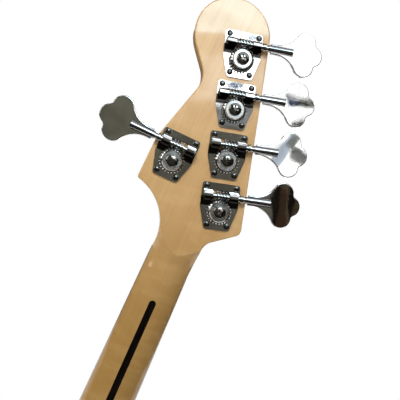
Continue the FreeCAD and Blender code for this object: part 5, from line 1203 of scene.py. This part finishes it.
# Cards that only gloss mirrors, on a wall behind the camera and level with the picture: name, colour, glow,
# middle across and up from the wall's middle, width, height, turn in degrees and layer towards the object
ROOM_MIDDLE = Vector((-0.3, 2.02, 1.6))
ROOM_LAYER = Vector((0, -0.01, 0))
ROOM_CARDS = (
    ("window", (1.00, 1.00, 0.98), 1.85, 0.20, 0.43, 1.30, 1.46, 0, 0),
    ("upper_pane", (0.66, 0.92, 1.00), 11.5, -0.02, 0.86, 1.25, 0.58, 0, 1),
    ("lower_pane", (0.90, 0.96, 1.00), 4.5, -0.07, 0.31, 0.46, 0.26, 0, 1),
    ("wall", (0.105, 0.100, 0.078), 1.0, -1.04, -0.78, 2.32, 1.66, 0, 2),
    ("cupboard", (0.145, 0.139, 0.103), 1.0, -1.33, 0.40, 1.74, 1.20, 0, 3),
    ("shelf", (0.27, 0.275, 0.285), 1.0, -0.07, 0.09, 0.46, 0.12, 0, 3),
    ("box", (0.05, 0.075, 0.14), 1.0, -0.025, 0.262, 0.12, 0.055, 0, 3),
    ("bracket", (0.10, 0.13, 0.22), 1.0, 0.083, 0.552, 0.055, 0.034, 0, 3),
    ("curtain", (0.010, 0.0075, 0.006), 1.0, 0.41, -0.94, 0.58, 1.34, 0, 2),
    ("curtain_edge", (0.135, 0.128, 0.100), 1.0, 0.155, -0.94, 0.08, 1.34, 0, 3),
    ("curtain_fold", (0.055, 0.030, 0.018), 1.0, 0.262, -0.94, 0.048, 1.34, 0, 3),
    ("curtain_hem", (0.120, 0.100, 0.055), 1.0, 0.292, -0.94, 0.010, 1.34, 0, 3),
    ("curtain_tie", (0.075, 0.055, 0.030), 1.0, 0.330, -0.50, 0.016, 0.20, -20, 3),
    ("blind", (0.60, 0.69, 0.78), 1.0, 0.262, -0.125, 0.30, 0.065, 52, 2),
    ("blind_end", (0.21, 0.23, 0.215), 1.0, 0.335, -0.052, 0.14, 0.065, 52, 3),
    ("blind_side", (0.155, 0.160, 0.145), 1.0, 0.374, -0.150, 0.115, 0.075, -25, 3),
    ("window_bar", (0.050, 0.075, 0.14), 1.0, 0.320, 0.180, 0.07, 0.055, -4, 2),
    ("window_latch", (0.060, 0.060, 0.045), 1.0, 0.415, 0.176, 0.12, 0.052, -4, 2),
    ("plant", (0.050, 0.030, 0.020), 1.0, 0.366, 0.046, 0.078, 0.036, 8, 2),
)


def card_finish(name, tint, strength=1.0):
    """Dim glow with soft blotches."""
    finish = Finish(name)
    deep = [0.7 * part for part in tint]
    finish.set(Base_Color=(0, 0, 0, 1), Specular_IOR_Level=0.0, Emission_Strength=strength,
               Emission_Color=finish.mix(finish.fit(finish.noise(5, 2), 0.4, 0.6), tint, deep))
    return finish.material


def add_card(name, corners, material):
    """Flat card that only gloss mirrors."""
    card = flat_object(name, corners, material)
    card.visible_camera = False
    card.visible_diffuse = False
    card.visible_shadow = False
    card.visible_transmission = False


def add_room_wall(roll):
    """The window, the dim wall and the furnishings behind the camera."""
    level = Matrix.Rotation(roll, 4, "Y") @ Matrix.Scale(-1, 4, (1, 0, 0))
    for name, tint, glow, across, up, wide, high, turn, layer in ROOM_CARDS:
        tilted = Matrix.Rotation(-math.radians(turn), 4, "Y")
        corners = []
        for side, end in ((-1, -1), (1, -1), (1, 1), (-1, 1)):
            corner = tilted @ Vector((side * wide / 2, 0, end * high / 2)) + Vector((across, 0, up))
            corners.append(ROOM_MIDDLE + ROOM_LAYER * layer + level @ corner)
        add_card(name, corners, card_finish(name, tint, glow))


def add_room_sides(stage):
    """Plain cards all round, each between two corners: dark ones, a pale ceiling and grey screens."""
    dark = card_finish("dark_card", stage.flag)
    pale = card_finish("ceiling", stage.ceiling, 1.35)
    grey = card_finish("grey_card", stage.screen)
    side, near, far, front = 2.3, 2.05, -2.2, -2.6
    low, high = 0.1, 3.3
    floor_end, ceiling_end = 0.25, 0.5
    gap = 0.55
    for name, material, (x, y, z), (end_x, end_y, end_z) in (
            ("left_card", dark, (side, near, low), (side, far, high)),
            ("right_card", dark, (-side, near, low), (-side, far, high)),
            ("back_card", dark, (-side, near, low), (side, near, high)),
            ("low_card", dark, (side, near, low), (-side, floor_end, low)),
            ("top_card", dark, (side, ceiling_end, high), (-side, far, high)),
            ("ceiling", pale, (side, near, high), (-side, ceiling_end, high)),
            ("front_left_card", dark, (gap, front, low), (side, front, high)),
            ("front_right_card", dark, (-gap, front, low), (-side, front, high)),
            ("low_screen", grey, (-gap, front, 0.1), (gap, front, 0.75)),
            ("middle_screen", grey, (-gap, front, 1.30), (gap, front, 1.42)),
            ("high_screen", grey, (-gap, front, 1.75), (gap, front, 2.10))):
        if z == end_z:
            corners = [(x, y, z), (x, end_y, z), (end_x, end_y, z), (end_x, y, z)]
        else:
            corners = [(x, y, z), (end_x, end_y, z), (end_x, end_y, end_z), (x, y, end_z)]
        add_card(name, corners, material)


def light_world(fill):
    """White where it is seen or mirrored, a softer fill light for the rest."""
    world = bpy.data.worlds.new("studio")
    bpy.context.scene.world = world
    world.use_nodes = True
    tree = NodeMaker(world.node_tree)
    background = tree.nodes["Background"].inputs
    background["Color"].default_value = (1, 1, 1, 1)
    tree.feed(background["Strength"], tree.fit(tree.seen_directly(), 0.0, 1.0, fill, 1.0))


class BASS_OT_stage(bpy.types.Operator):
    """Set up the floor, the lamps and the camera"""
    bl_idname = "bass.set_stage"
    bl_label = "Set the stage"

    def execute(self, context):
        stage = context.scene.bass_looks.stage
        context.scene.view_settings.view_transform = "Standard"
        level = CAD_BOX[0].z
        half = 8.0
        corners = [(-half, -half, level), (half, -half, level), (half, half, level), (-half, half, level)]
        flat_object("floor", corners, floor_finish(stage))
        light_world(stage.fill)
        head = (0.0, 0.0, 1.08)
        body = (0.0, 0.0, 0.55)
        warm = (1.0, 0.97, 0.92)
        cool = (0.94, 0.97, 1.0)
        add_lamp("key_lamp", stage.key_power, (0.95, 1.75, 2.2), head, 0.5, 0.5, warm, False)
        add_lamp("window_lamp", stage.window_power, (-0.6, 2.0, 2.24), head, 0.9, 0.9, cool, False)
        add_lamp("side_lamp", stage.side_power, (1.9, 0.9, 1.5), head, 1.0, 1.4, warm, True)
        add_lamp("front_lamp", stage.front_power, (-0.9, -2.1, 1.5), body, 1.6, 1.6, warm, True)
        add_room_wall(stage.roll)
        add_room_sides(stage)
        add_camera(stage)
        return {"FINISHED"}


STEPS = (BASS_OT_neck, BASS_OT_body, BASS_OT_metal, BASS_OT_gears, BASS_OT_strings, BASS_OT_tuner_screws,
         BASS_OT_body_screws, BASS_OT_knobs, BASS_OT_stage)


class BASS_PT_looks(bpy.types.Panel):
    """Lists the steps and the settings"""
    bl_idname = "BASS_PT_looks"
    bl_label = "Bass guitar looks"
    bl_space_type = "VIEW_3D"
    bl_region_type = "UI"
    bl_category = "Bass"

    def draw(self, context):
        layout = self.layout
        for step in STEPS:
            layout.operator(step.bl_idname)
        looks = context.scene.bass_looks
        for group in (looks.wood, looks.metal, looks.plastic, looks.strings, looks.fittings, looks.stage):
            box = layout.box()
            for key in group.__annotations__:
                box.prop(group, key)


CLASSES = (BASS_PG_wood, BASS_PG_metal, BASS_PG_plastic, BASS_PG_strings, BASS_PG_fittings, BASS_PG_stage,
           BASS_PG_settings, *STEPS, BASS_PT_looks)


def register():
    for item in CLASSES:
        bpy.utils.register_class(item)
    bpy.types.Scene.bass_looks = PointerProperty(type=BASS_PG_settings)


def unregister():
    del bpy.types.Scene.bass_looks
    for item in reversed(CLASSES):
        bpy.utils.unregister_class(item)


def main():
    register()
    bpy.ops.bass.finish_neck()
    bpy.ops.bass.finish_body()
    bpy.ops.bass.finish_metal()
    bpy.ops.bass.make_gears()
    bpy.ops.bass.make_strings()
    bpy.ops.bass.make_tuner_screws()
    bpy.ops.bass.make_body_screws()
    bpy.ops.bass.make_knobs()
    bpy.ops.bass.set_stage()


if __name__ == "__main__":
    main()
